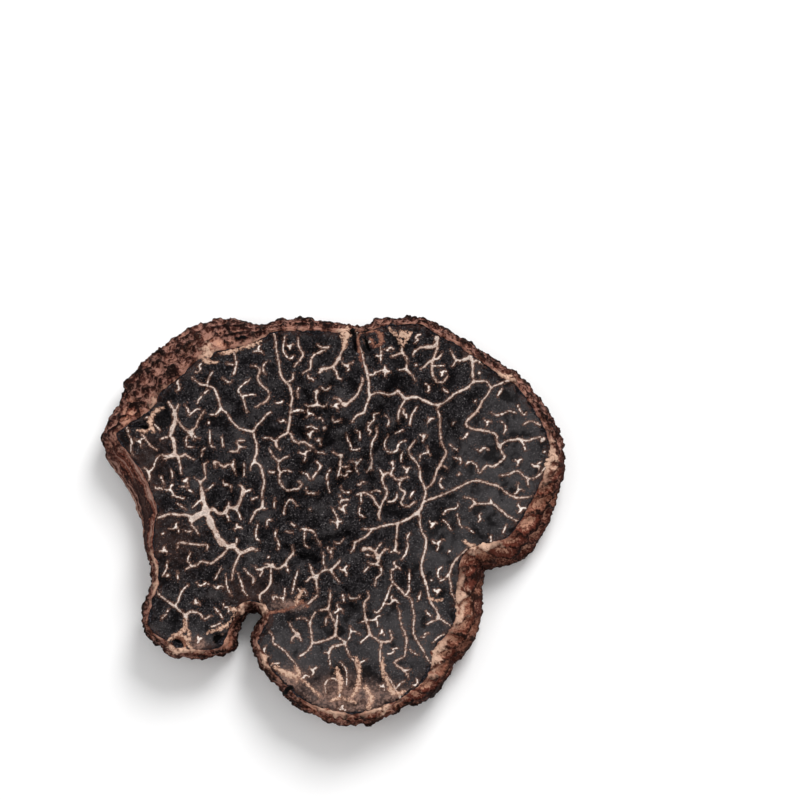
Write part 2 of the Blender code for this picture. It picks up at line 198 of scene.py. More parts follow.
VEINS_LEFT = (
    (3.4, 201, 488, 203, 498, 205, 505, 207, 512),
    (6.6, 202, 494, 204, 502, 206, 510, 208, 517),
    (8.6, 203, 507, 207, 513, 210, 520, 212, 527),
    (6.0, 208, 510, 201, 514, 195, 518, 190, 521),
    (4.6, 214, 531, 218, 538, 223, 545),
    (3.1, 207, 512, 200, 516, 193, 520, 187, 515, 178, 515, 170, 514, 163, 516, 158, 518),
    (1.8, 193, 520, 192, 525, 196, 530, 199, 535),
    (1.6, 203, 498, 197, 504, 193, 508),
    (3.6, 207, 512, 213, 509, 219, 513, 225, 512, 228, 508, 236, 508, 239, 503, 241, 497, 243, 493,
     242, 488, 239, 486),
    (1.6, 243, 493, 251, 490),
    (1.6, 236, 508, 238, 514, 240, 519),
    (1.6, 225, 512, 229, 521),
    (1.4, 228, 508, 229, 502),
    (3.6, 207, 512, 210, 519, 213, 526, 217, 533, 222, 540, 227, 545, 232, 546),
    (2.0, 232, 546, 236, 543, 237, 538),
    (3.4, 232, 546, 237, 550, 241, 553, 246, 551, 251, 549, 258, 550),
    (2.0, 241, 553, 237, 560, 234, 568, 232, 580),
    (2.2, 230, 546, 223, 554, 217, 559, 212, 563, 206, 562, 201, 561, 197, 565, 192, 566, 188, 569),
    (1.6, 192, 566, 188, 559, 191, 553),
    (1.8, 178, 548, 180, 542, 190, 544, 200, 545, 207, 545, 207, 550),
    (1.8, 138, 493, 140, 500, 143, 504, 148, 503),
    (1.8, 144, 468, 148, 472, 150, 480),
    (1.6, 148, 472, 153, 468, 155, 460, 158, 456),
    (1.4, 160, 476, 165, 485),
    (1.4, 171, 470, 172, 479),
    (1.4, 180, 487, 188, 487),
    (1.4, 174, 496, 184, 499),
    (1.4, 214, 484, 209, 488, 205, 490),
    (2.0, 158, 590, 163, 596, 170, 601, 176, 605, 182, 610, 187, 615),
    (1.6, 176, 605, 180, 598, 183, 590, 190, 584),
    (1.8, 187, 615, 190, 611, 196, 611, 202, 614, 206, 618, 212, 615),
    (2.4, 187, 615, 188, 622, 188, 628, 183, 631, 176, 635),
    (1.6, 168, 561, 167, 568, 164, 574),
    (1.6, 221, 567, 216, 578),
    (1.6, 244, 568, 249, 573, 254, 577, 253, 582),
    (1.6, 226, 575, 227, 582, 229, 590, 232, 595),
    (1.6, 238, 573, 242, 582, 244, 590, 248, 595),
    (1.4, 170, 607, 168, 612, 164, 617),
    (1.4, 216, 607, 220, 612, 224, 618),
)
VEINS_MIDDLE = (
    (1.8, 268, 448, 271, 454, 276, 459, 279, 461, 283, 459, 288, 457),
    (1.8, 279, 461, 278, 466, 280, 473, 279, 480, 282, 486, 287, 490, 293, 489, 298, 489, 301, 485,
     297, 482),
    (1.4, 280, 473, 285, 471, 290, 472),
    (1.6, 283, 513, 285, 506, 289, 500, 293, 502, 297, 506),
    (1.4, 275, 499, 274, 508),
    (1.4, 258, 525, 256, 532, 256, 538, 260, 541),
    (1.4, 272, 520, 268, 521, 267, 527),
    (1.4, 276, 530, 275, 536, 279, 542, 279, 549),
    (1.4, 286, 531, 292, 532),
    (1.4, 291, 523, 295, 526),
    (1.8, 300, 530, 307, 529, 313, 531, 316, 535, 319, 541, 320, 546),
    (1.4, 305, 530, 305, 538, 305, 543, 309, 547),
    (1.6, 316, 462, 320, 466, 318, 471, 314, 476, 312, 480),
    (1.6, 330, 469, 327, 474, 327, 480, 328, 487, 330, 492),
    (1.4, 306, 488, 308, 493, 314, 494, 318, 494),
    (1.8, 333, 452, 337, 455, 341, 456, 340, 463, 341, 467, 349, 467),
    (1.6, 341, 467, 337, 477),
    (1.6, 350, 461, 357, 463, 361, 459),
    (1.4, 357, 463, 356, 468, 358, 473),
    (2.0, 305, 404, 311, 406, 317, 405, 323, 406, 327, 403),
    (1.6, 317, 405, 316, 398, 316, 392),
    (3.0, 333, 398, 338, 399, 344, 405, 350, 401, 355, 397, 359, 390, 361, 384, 362, 378),
    (1.4, 316, 418, 321, 418, 323, 422),
    (1.4, 332, 417, 334, 422, 340, 421),
    (1.4, 306, 428, 312, 427, 317, 429),
    (1.4, 347, 435, 348, 440, 350, 446, 353, 450, 360, 449),
    (1.4, 355, 430, 360, 433, 360, 440),
    (1.6, 377, 427, 376, 434, 373, 440, 371, 446, 371, 455, 371, 471),
    (1.4, 371, 466, 366, 471),
    (2.0, 357, 495, 361, 494, 366, 494, 371, 497, 376, 504, 380, 509, 378, 515, 380, 520),
    (1.4, 361, 494, 361, 503),
    (1.6, 340, 495, 342, 500, 349, 499),
    (1.4, 342, 500, 340, 504),
    (1.6, 332, 508, 336, 515, 337, 522, 331, 521),
    (1.4, 337, 522, 342, 521),
    (1.4, 337, 522, 337, 528),
    (1.6, 360, 508, 359, 514, 364, 517),
    (2.2, 265, 563, 272, 565, 279, 568, 286, 563, 290, 557, 293, 553, 293, 546),
    (2.0, 272, 565, 271, 575, 270, 584, 266, 590, 261, 594, 261, 600),
    (1.6, 286, 563, 289, 572),
    (1.6, 298, 570, 296, 577, 294, 585, 292, 593),
    (1.6, 274, 601, 274, 595, 279, 597, 284, 597, 285, 588),
    (1.4, 284, 597, 283, 603),
)
VEINS_UPPER_RIGHT = (
    (2.4, 357, 332, 358, 343, 361, 352, 363, 361, 366, 370, 368, 380, 369, 390, 369, 397, 366, 405,
     364, 413, 358, 415, 354, 419, 352, 423),
    (2.2, 369, 397, 373, 395, 380, 393, 388, 394, 395, 393, 398, 391, 403, 397, 406, 399, 413, 397,
     420, 398, 427, 402, 434, 405, 439, 405, 445, 402, 451, 398, 458, 393, 465, 390, 470, 386, 474, 382,
     480, 381, 487, 381, 492, 388),
    (1.8, 406, 399, 402, 405, 399, 412, 398, 421),
    (2.0, 439, 405, 438, 410, 440, 417, 440, 433, 441, 440, 443, 447, 446, 452, 444, 458, 441, 465,
     447, 469),
    (1.8, 441, 465, 437, 470, 436, 476, 432, 483, 425, 489),
    (2.6, 474, 382, 473, 374, 473, 365, 471, 356),
    (2.0, 471, 356, 470, 348),
    (1.8, 473, 362, 478, 361, 485, 366),
    (1.8, 471, 356, 464, 360, 457, 360, 451, 350),
    (1.6, 457, 360, 452, 366),
    (1.8, 492, 388, 499, 384, 506, 381, 512, 380, 518, 384),
    (2.0, 492, 388, 488, 395, 483, 400, 480, 406, 476, 412, 471, 418, 467, 422, 467, 427, 474, 430,
     482, 431, 490, 432, 496, 435, 497, 441, 500, 446),
    (2.0, 500, 446, 508, 441, 515, 440, 520, 439, 528, 440, 535, 438, 541, 437),
    (1.6, 520, 439, 524, 444, 526, 451),
    (2.0, 500, 446, 502, 453, 505, 457, 499, 463, 493, 466, 487, 466, 480, 473),
    (1.6, 466, 466, 470, 462, 476, 465, 478, 472),
    (3.4, 419, 348, 428, 347, 434, 346, 438, 342, 437, 336),
    (2.2, 438, 346, 435, 352, 433, 360, 432, 370, 434, 377, 438, 382, 443, 382, 448, 376),
    (1.8, 420, 369, 427, 365, 432, 360, 438, 358, 443, 353),
    (1.4, 433, 366, 436, 366, 444, 365),
    (2.0, 402, 343, 402, 350, 404, 355, 407, 360, 406, 367, 408, 371, 413, 375, 416, 380),
    (1.6, 406, 369, 399, 369),
    (1.8, 403, 352, 397, 354, 391, 356),
    (1.6, 380, 346, 381, 356, 381, 362),
    (1.4, 376, 355, 381, 356),
    (1.6, 385, 366, 385, 371, 385, 377),
    (1.6, 380, 371, 385, 371, 390, 372),
    (1.6, 417, 407, 413, 414, 411, 420, 410, 425),
    (1.6, 492, 412, 497, 415, 503, 414, 510, 411, 516, 413),
    (1.6, 518, 405, 521, 412, 524, 415, 526, 413),
    (1.8, 524, 425, 530, 422, 537, 423, 542, 425),
    (1.6, 388, 435, 385, 440, 384, 445, 386, 450, 390, 453, 397, 451, 398, 446, 401, 442, 406, 441),
    (1.4, 395, 433, 402, 430),
    (1.4, 427, 447, 429, 452),
)
VEINS_LOWER_RIGHT = (
    (2.2, 415, 441, 411, 446, 409, 452, 413, 458, 418, 466, 420, 473, 421, 481, 425, 489, 425, 495,
     423, 502, 421, 508, 418, 512, 413, 516, 405, 520, 398, 523, 387, 525, 380, 527, 372, 529, 363, 528),
    (2.0, 372, 530, 367, 535, 360, 540, 355, 543, 354, 548, 351, 552),
    (2.0, 423, 502, 430, 500, 438, 497, 447, 493, 456, 489, 465, 484, 473, 481, 480, 481, 488, 483,
     496, 485, 502, 489, 508, 494, 515, 497, 523, 498, 531, 497),
    (2.2, 418, 512, 420, 520, 421, 528, 425, 538, 426, 547, 424, 555, 421, 565, 423, 575, 426, 585,
     429, 594, 431, 602, 436, 610, 438, 616, 433, 620, 427, 624),
    (1.8, 438, 616, 444, 620, 450, 624),
    (1.8, 397, 524, 397, 532, 396, 541, 395, 550, 399, 553),
    (1.4, 395, 550, 390, 552),
    (1.6, 409, 533, 407, 540, 407, 548, 405, 554, 401, 560),
    (1.8, 500, 476, 508, 475, 516, 472, 521, 474, 526, 478, 532, 479, 538, 476, 543, 470, 548, 464,
     551, 458),
    (1.4, 527, 478, 528, 486),
    (1.8, 464, 498, 470, 498, 474, 501, 475, 504, 470, 509),
    (1.8, 475, 504, 483, 504, 492, 504, 500, 510, 506, 515, 512, 518, 521, 523),
    (1.4, 492, 504, 491, 500),
    (1.4, 443, 514, 447, 510, 453, 509, 457, 508, 458, 504),
    (1.6, 457, 515, 459, 521, 462, 528),
    (1.4, 443, 520, 448, 524, 452, 530),
    (1.4, 467, 527, 474, 533),
    (1.8, 380, 509, 383, 502, 387, 494, 385, 487, 382, 481, 383, 476, 388, 474, 391, 475, 396, 479,
     402, 479, 408, 477),
    (1.6, 391, 475, 393, 468, 392, 463),
    (1.4, 383, 476, 379, 469),
    (1.8, 402, 479, 400, 485, 401, 490, 405, 492, 403, 498, 401, 503, 405, 507, 411, 506, 415, 502),
    (2.6, 363, 549, 370, 549, 375, 553, 378, 558, 376, 564, 368, 562),
    (1.8, 375, 553, 378, 548, 382, 543),
    (1.8, 378, 558, 384, 550, 388, 549),
    (1.6, 376, 564, 380, 566, 381, 573, 376, 578, 375, 585),
    (1.8, 391, 571, 392, 580, 394, 583, 400, 589, 405, 594, 410, 598, 412, 606, 414, 615, 413, 625,
     415, 635, 420, 645, 426, 655, 433, 663),
    (1.6, 392, 583, 388, 592, 385, 600, 381, 608, 376, 612, 374, 609),
    (1.6, 405, 594, 409, 590, 409, 580, 410, 570),
    (1.8, 397, 605, 400, 613, 401, 622, 404, 630, 406, 640, 405, 653, 399, 657, 395, 660, 398, 664,
     404, 668, 409, 675),
    (1.4, 404, 668, 411, 667),
    (1.8, 456, 601, 452, 592, 450, 582, 450, 572, 453, 563, 459, 556, 467, 549),
    (1.4, 450, 572, 445, 578, 440, 581),
    (1.6, 432, 641, 438, 636, 444, 633),
)
VEINS_LOWER = (
    (1.8, 310, 565, 313, 573, 316, 577, 311, 577, 306, 581),
    (2.2, 316, 577, 320, 573, 325, 570, 331, 570, 336, 565, 340, 560),
    (1.6, 325, 570, 324, 560, 323, 552),
    (1.6, 331, 570, 335, 576, 340, 582),
    (2.0, 316, 577, 317, 585, 317, 594, 311, 601, 304, 605),
    (1.8, 320, 609, 328, 608, 330, 603, 331, 595, 330, 590),
    (2.0, 328, 608, 332, 615, 336, 623, 336, 633, 330, 637, 322, 640, 313, 641, 312, 633, 311, 625,
     312, 618, 316, 611),
    (1.4, 338, 615, 337, 625),
    (1.4, 311, 622, 304, 617, 298, 618),
    (1.8, 313, 641, 310, 648, 304, 652, 298, 655),
    (1.8, 336, 633, 341, 637, 345, 641, 338, 644, 332, 646, 329, 651, 325, 651),
    (1.6, 329, 651, 330, 658, 332, 664),
    (1.8, 345, 641, 347, 647, 351, 654, 356, 660, 358, 665, 359, 672, 362, 680),
    (1.6, 345, 641, 349, 637, 351, 631, 356, 631, 361, 634),
    (1.4, 351, 631, 350, 625),
    (1.8, 270, 630, 274, 636, 274, 641, 280, 645, 287, 651, 293, 657, 297, 662, 300, 668),
    (2.4, 290, 622, 292, 628, 298, 633, 302, 640),
    (2.0, 298, 633, 293, 637, 293, 641),
    (2.0, 368, 591, 369, 597, 365, 602, 365, 610, 366, 618, 369, 626, 370, 633, 375, 637, 381, 640,
     387, 640, 392, 637, 390, 629),
    (2.0, 381, 640, 381, 650, 380, 657, 383, 665, 387, 673, 393, 682, 398, 690, 402, 695),
    (1.6, 370, 633, 366, 636, 361, 641),
    (1.4, 365, 620, 361, 621),
    (1.6, 340, 660, 346, 666, 348, 674, 347, 682),
    (1.8, 327, 690, 326, 682, 329, 677, 335, 676, 340, 680, 343, 686),
    (1.4, 358, 665, 362, 660, 368, 658),
)

# Knots where veins meet or swell: (right, down, radius)
KNOTS = (
    (206, 511, 5.6), (232, 546, 4.2), (173, 455, 4.4), (471, 357, 4.4), (196, 517, 3.4),
    (173, 414, 3.4), (190, 433, 3.0), (480, 357, 2.6), (465, 359, 2.6), (500, 446, 3.4), (416, 514, 3.8),
    (272, 565, 3.0), (316, 577, 3.6), (187, 615, 2.6), (298, 633, 3.4), (401, 694, 3.4), (385, 371, 2.8),
    (392, 463, 2.6), (316, 392, 2.8), (543, 440, 3.4), (364, 549, 3.0), (378, 557, 3.0), (347, 333, 3.0),
    (437, 338, 3.6), (438, 616, 2.4), (412, 397, 2.0), (459, 475, 2.0), (324, 428, 2.4), (169, 575, 2.4),
    (341, 456, 2.4), (243, 493, 2.4), (193, 519, 2.8), (344, 404, 2.8), (178, 634, 3.0), (338, 359, 2.8),
)

# Tan flaps and lines, near the skin for the most part
TAN_LINES = (
    (4.6, 201, 351, 203, 357, 206, 363),
    (2.6, 205, 360, 211, 362, 217, 362),
    (2.4, 219, 353, 226, 352, 230, 350),
    (2.4, 224, 353, 238, 348, 250, 345, 260, 340),
    (3.8, 162, 408, 156, 411, 151, 416, 150, 424, 153, 431),
    (2.4, 151, 428, 145, 431, 138, 431),
    (4.0, 352, 331, 347, 335, 345, 342, 342, 350),
    (2.6, 340, 331, 343, 337, 344, 343),
    (2.8, 389, 327, 394, 333, 399, 339, 403, 346),
    (6.0, 400, 333, 405, 335),
    (3.4, 411, 332, 408, 337, 404, 343),
    (3.6, 464, 541, 469, 544, 476, 547),
    (3.2, 297, 604, 299, 596, 304, 589),
    (2.8, 208, 632, 216, 629, 226, 625, 233, 619, 240, 611),
    (4.4, 231, 607, 236, 609, 237, 613),
    (3.0, 186, 618, 187, 626, 182, 632, 175, 634, 169, 641),
    (2.6, 182, 632, 188, 637, 190, 643, 196, 648),
    (2.4, 187, 625, 191, 631, 192, 639),
    (3.0, 174, 649, 184, 650, 194, 650),
    (2.4, 429, 597, 436, 600, 443, 598),
    (3.0, 388, 686, 396, 690, 404, 688),
    (4.4, 337, 666, 341, 678, 340, 690),
    (3.4, 357, 656, 360, 668, 358, 684, 352, 694),
    (5.0, 366, 684, 371, 694, 369, 704),
    (3.4, 383, 656, 383, 668, 388, 680, 394, 690),
    (4.4, 274, 662, 284, 669, 297, 674),
    (2.8, 296, 664, 299, 671, 297, 680),
    (2.4, 300, 676, 311, 684, 322, 694),
    (2.4, 330, 698, 345, 695, 356, 699),
)

# Bits of skin folded into the flesh
SKIN_LINES = (
    (3.0, 362, 366, 359, 352, 357, 340, 361, 332),
    (4.4, 368, 331, 376, 330, 381, 336, 380, 344, 373, 346),
    (3.0, 369, 338, 373, 341, 371, 345),
    (8.0, 231, 634, 234, 641, 230, 647),
    (3.4, 266, 611, 278, 611, 290, 608, 299, 603),
    (2.6, 299, 600, 305, 603, 310, 606),
    (5.0, 175, 637, 182, 636, 186, 642, 182, 648, 175, 646),
)

# Open cracks
CRACK_LINES = (
    (8.0, 178, 641, 182, 645),
    (7.0, 216, 637, 220, 634),
    (3.0, 130, 427, 138, 425, 147, 427),
    (7.0, 217, 639, 222, 637, 227, 633),
    (2.4, 364, 336, 366, 342, 370, 350),
    (2.4, 355, 334, 354, 341, 356, 350),
)

# Creases pressed into the leathery middle
CREASE_LINES = (
    (3.4, 400, 366, 392, 384, 384, 404, 370, 420, 352, 436, 336, 440, 322, 446, 308, 462, 296, 478),
    (3.0, 402, 422, 384, 440, 362, 462, 340, 480, 316, 500),
    (3.0, 348, 534, 322, 540, 296, 548),
    (3.0, 300, 380, 306, 404, 300, 424, 304, 440),
    (3.0, 330, 384, 322, 400, 330, 420, 324, 440),
    (3.0, 296, 478, 284, 500, 286, 520),
    (2.4, 352, 436, 346, 456, 332, 470),
    (2.4, 362, 462, 372, 480, 370, 492),
    (2.4, 450, 420, 458, 446, 452, 470),
    (2.4, 318, 560, 300, 556, 286, 546),
    (2.4, 240, 470, 230, 486, 232, 500),
    (2.4, 346, 588, 352, 606, 346, 622),
)

# Greyer flesh, as soft patches: (right, down, half width, half height)
PALE_PATCHES = (
    (446, 552, 40, 40), (500, 480, 56, 70), (400, 640, 76, 46), (520, 420, 40, 50), (300, 655, 60, 40),
    (200, 645, 40, 24),
)

# Faintly brown flesh
WARM_PATCHES = (
    (175, 545, 34, 40), (250, 590, 40, 20), (330, 680, 60, 20), (150, 460, 24, 40), (430, 680, 20, 20),
)

# Browner, half see-through flesh
AMBER_PATCHES = (
    (350, 694, 56, 20), (292, 676, 20, 14), (200, 642, 10, 8), (290, 604, 20, 7), (400, 692, 24, 10),
)

# Where the skin's cut edge shows pale
TAN_LIP_PATCHES = (
    (462, 606, 14, 26), (440, 655, 16, 20), (326, 711, 16, 8), (382, 705, 16, 8), (240, 333, 16, 6),
    (206, 352, 8, 6), (160, 405, 8, 8), (480, 546, 18, 8), (551, 462, 8, 22), (505, 377, 14, 8),
    (180, 648, 22, 8), (265, 610, 8, 8), (345, 329, 8, 4), (152, 575, 7, 20), (240, 606, 8, 6),
    (266, 652, 8, 16),
)

# Redder skin, with paler tops
RUDDY_PATCHES = (
    (232, 640, 10, 14), (205, 652, 14, 6), (215, 345, 16, 10), (130, 415, 14, 12),
)

# Holes under flaps of the skin, dented and painted near black as painted shade
SKIN_PITS = ((240, 338, 10, 3), (352, 330, 4, 4), (290, 686, 4, 3))

# Short marks of fixed form: the angle and the share of the mark's size of each place on them
FLECK_FORMS = {
    Fleck.HOOK: ((0.0, 1.1), (0.7, 0.75), (1.7, 0.6), (2.8, 0.8), (3.3, 1.1)),
    Fleck.ZIGZAG: ((0.0, 1.2), (0.8, 0.5), (-0.6, 0.2), (math.pi + 0.5, 0.6), (math.pi - 0.2, 1.2)),
}

# Dashes: the share of the size at the bend, and at the far end
DASH_SHARES = (0.2, 0.9)

# Forks: between which angles the second and the third arm point, how arms bend, and how far they reach
FORK_ARMS = ((1.8, 2.4), (3.7, 4.6))
FORK_BEND = (0.35, 0.6)
FORK_REACH = (0.9, 1.4)

# The four sides of a lattice cell: the step to the neighbour, and the side's first and last corner
CELL_SIDES = (
    ((0, -1), (0, 0), (1, 0)),
    ((1, 0), (1, 0), (1, 1)),
    ((0, 1), (1, 1), (0, 1)),
    ((-1, 0), (0, 1), (0, 0)),
)

# The surface map of a cut face: its margin, the corner that holds what is hidden, and how full that is
MAP_MARGIN = 1.06
MAP_CORNER = 0.055
CORNER_FILL = 0.8

# The surface map of the skin: where each strip starts across and up, and how much of its room it fills
STRIP_STARTS = (0.01, 0.02)
STRIP_FILLS = (0.98, 0.94)

# Steps of the lattices of the two cut faces
UPPER_SPACING = 0.138 * MM
UNDER_SPACING = 0.20 * MM

# How long the ends of a stretch of the rim are eased, as a share of the way round
STRETCH_BLEND = 0.02

# Rounds that settle a place whose height depends on the place itself
SETTLING_ROUNDS = 4

# What scatters random numbers over the lattice of the noise
CORNER_PRIMES = (73856093, 19349663, 83492791)
MIXERS = (2246822519, 3266489917)
SEED_PRIME = 2654435
SEED_START = 12345
SEED_SHIFT = 0.37

# Least divisors, where a step or a direction may have no length
LEAST_SQUARE = 1e-18
LEAST_NORMAL = 1e-12


def linear(code: str) -> tuple[float, float, float, float]:
    """Turns an sRGB hex code into a linear colour.

    Args:
        code: Six hex digits with a leading hash sign.

    Returns:
        Red, green, blue and alpha, linear.
    """
    shares = [int(code[i : i + 2], 16) / 255 for i in (1, 3, 5)]
    red, green, blue = (s / 12.92 if s <= 0.04045 else ((s + 0.055) / 1.055) ** 2.4 for s in shares)
    return red, green, blue, 1.0


def smooth_step(value: np.ndarray) -> np.ndarray:
    """Eases 0 to 1 with 3t^2 - 2t^3, and holds its ends."""
    share = np.clip(value, 0.0, 1.0)
    return share * share * (3 - 2 * share)


def bell(value: np.ndarray, middle: float, width: float) -> np.ndarray:
    """A bell curve: exp(-d^2) of the distance d from its middle, over its width."""
    return np.exp(-(((value - middle) / width) ** 2))


def value_noise(places: np.ndarray, cell: float, seed: int) -> np.ndarray:
    """Value noise: random numbers on a cubic lattice, blended with the eased shares of a place's cell.

    Args:
        places: An array whose last axis holds two or three coordinates. A third that is missing is 0.
        cell: Side of a lattice cell, in the same units.
        seed: Which noise.

    Returns:
        Values from -1 to 1, one a place.
    """
    axes = [*np.moveaxis(places, -1, 0), np.zeros(places.shape[:-1])][:3]
    coords = [axis / cell + SEED_SHIFT * seed for axis in axes]
    base = [np.floor(c).astype(np.int64) for c in coords]
    share = [smooth_step(c - b) for c, b in zip(coords, base)]
    total = np.zeros(places.shape[:-1])
    for corner in range(8):
        bits = [(corner >> axis) & 1 for axis in range(3)]
        mixed = np.uint32(seed * SEED_PRIME + SEED_START)
        for b, bit, prime in zip(base, bits, CORNER_PRIMES):
            mixed = mixed ^ ((b + bit).astype(np.uint32) * np.uint32(prime))
        mixed = mixed * np.uint32(MIXERS[0])
        mixed = (mixed ^ (mixed >> np.uint32(15))) * np.uint32(MIXERS[1])
        mixed = mixed ^ (mixed >> np.uint32(13))
        weight = np.ones(places.shape[:-1])
        for bit, s in zip(bits, share):
            weight = weight * (s if bit else 1 - s)
        total += weight * (mixed.astype(float) / 2**31 - 1)
    return total


def curl(x: np.ndarray, y: np.ndarray) -> np.ndarray:
    """The height of the under face: 0 on the flat spot, then a square law of the way to the rim."""
    out = np.hypot(x - FLAT_CENTRE[0], y - FLAT_CENTRE[1]) - FLAT_RADIUS
    return CURL_RISE * (np.maximum(out, 0.0) / (CURL_RADIUS - FLAT_RADIUS)) ** 2


def swelling(x: np.ndarray, y: np.ndarray) -> np.ndarray:
    """The broad swelling of the upper face: a sine across times a cosine along, for each of SWELLS.

    Args:
        x: Places to the right, in metres.
        y: Places to the back, in metres.

    Returns:
        Heights in metres.
    """
    total = np.zeros(np.shape(x))
    for rise, across, along, phase in SWELLS:
        total += rise * np.sin(math.tau * x / across + phase) * np.cos(math.tau * y / along + 2 * phase)
    return total


def on_slice(right: np.ndarray, down: np.ndarray, height: float) -> np.ndarray:
    """The place that a reading shows: the view leans by VIEW_ELEVATION, so height moves a place up in it.

    Args:
        right: Readings to the right.
        down: Readings downwards.
        height: Height of the material above the under face, in metres.

    Returns:
        An (n, 3) array of places in metres.
    """
    x = (np.asarray(right, float) - ORIGIN_READING[0]) * READING
    seen = (ORIGIN_READING[1] - np.asarray(down, float)) * READING
    y = seen.copy()
    for _ in range(SETTLING_ROUNDS):
        y = (seen - (height + curl(x, y)) * math.cos(VIEW_ELEVATION)) / math.sin(VIEW_ELEVATION)
    return np.stack([x, y, height + curl(x, y)], axis=1)


def face_place(right: float, down: float) -> np.ndarray:
    """The place on the upper face that a single reading shows, as x and y."""
    return on_slice(np.array([right]), np.array([down]), THICKNESS)[0, :2]


def rounded(line: np.ndarray, steps: int) -> np.ndarray:
    """Points of Catmull-Rom spans, which pass through stations with the slopes of the chords there.

    Args:
        line: Stations, one a row. The first and the last only steer the spans beside them.
        steps: Points a span, its end left out.

    Returns:
        An (n * steps, columns) array.
    """
    before, start, end, after = line[:-3], line[1:-2], line[2:-1], line[3:]
    square = 2 * before - 5 * start + 4 * end - after
    cube = 3 * start - before - 3 * end + after
    samples = []
    for t in np.linspace(0.0, 1.0, steps, endpoint=False):
        samples.append(0.5 * (2 * start + (end - before) * t + (square * t**2 + cube * t**3)))
    return np.stack(samples, axis=1).reshape(-1, start.shape[1])


def even_steps(loop: np.ndarray, count: int) -> np.ndarray:
    """A closed loop at equal steps of its length, measured along its first two columns.

    Args:
        loop: Stations, one a row.
        count: How many points to return.

    Returns:
        A (count, columns) array.
    """
    line = np.vstack([loop, loop[:1]])
    along = np.concatenate([[0.0], np.cumsum(np.hypot(*np.diff(line[:, :2], axis=0).T))])
    steps = np.linspace(0.0, along[-1], count, endpoint=False)
    return np.stack([np.interp(steps, along, column) for column in line.T], axis=1)


def in_stretch(share: np.ndarray, stretch: tuple[float, float], blend: float = STRETCH_BLEND) -> np.ndarray:
    """1 inside a stretch of the way round the rim and 0 outside, eased at both ends."""
    start, end = stretch
    return smooth_step((share - start) / blend) * smooth_step((end - share) / blend)


def near_patches(places: np.ndarray, patches: tuple) -> np.ndarray:
    """Soft patches: for each, exp(-d^2) of its own scaled distance d, and the highest of them counts.

    Args:
        places: An array whose last axis holds coordinates, in metres.
        patches: The right, down, half width and half height of each, as readings.

    Returns:
        Weights from 0 to 1, one a place.
    """
    x, y = places[..., 0], places[..., 1]
    total = np.zeros(x.shape)
    for right, down, across, along in patches:
        middle = face_place(right, down)
        scaled = ((x - middle[0]) / (across * READING)) ** 2 + ((y - middle[1]) / (along * READING)) ** 2
        total = np.maximum(total, np.exp(-scaled))
    return total


def inside(x: np.ndarray, y: np.ndarray, loop: np.ndarray) -> np.ndarray:
    """Whether each place lies inside a closed loop, by counting the edges that lie to its right.

    Args:
        x: Places to the right.
        y: Places to the back.
        loop: An (m, 2) array.

    Returns:
        Booleans in the shape of x.
    """
    hits = np.zeros(np.shape(x), int)
    for (x1, y1), (x2, y2) in zip(loop, np.roll(loop, -1, axis=0)):
        if y1 != y2:
            hits += ((y < y1) != (y < y2)) & (x < x1 + (y - y1) * (x2 - x1) / (y2 - y1))
    return hits % 2 == 1


def add_node(
    tree: bpy.types.NodeTree, kind: str, inputs: dict, output: int | str = 0, **settings: object
) -> bpy.types.NodeSocket:
    """Adds a node with its settings and links.

    Args:
        tree: The tree that it goes into.
        kind: The node's type.
        inputs: Input name or number to a value, or to the output that it is linked to.
        output: Which of its outputs is wanted.
        **settings: The node's own properties.

    Returns:
        The output.
    """
    node = tree.nodes.new(kind)
    for name, value in settings.items():
        setattr(node, name, value)
    for key, value in inputs.items():
        if isinstance(value, bpy.types.NodeSocket):
            tree.links.new(value, node.inputs[key])
        else:
            node.inputs[key].default_value = value
    return node.outputs[output]


@dataclass(frozen=True)
class Coat:
    """A coat of colour that thickens as a measure runs from start to end. A ragged coat's measure is
    shaken by a grain, and times names a second measure that thins the coat."""

    shade: str
    measure: str
    start: float
    end: float
    strength: float = 1.0
    ragged: float = 0.0
    times: str = ""
    grain: Noise = Noise.FINE


@dataclass(frozen=True)
class Grain:
    """Noise in the dried tissue, whose features are about this size."""

    size: float
    detail: float = 3.0
    roughness: float = 0.65


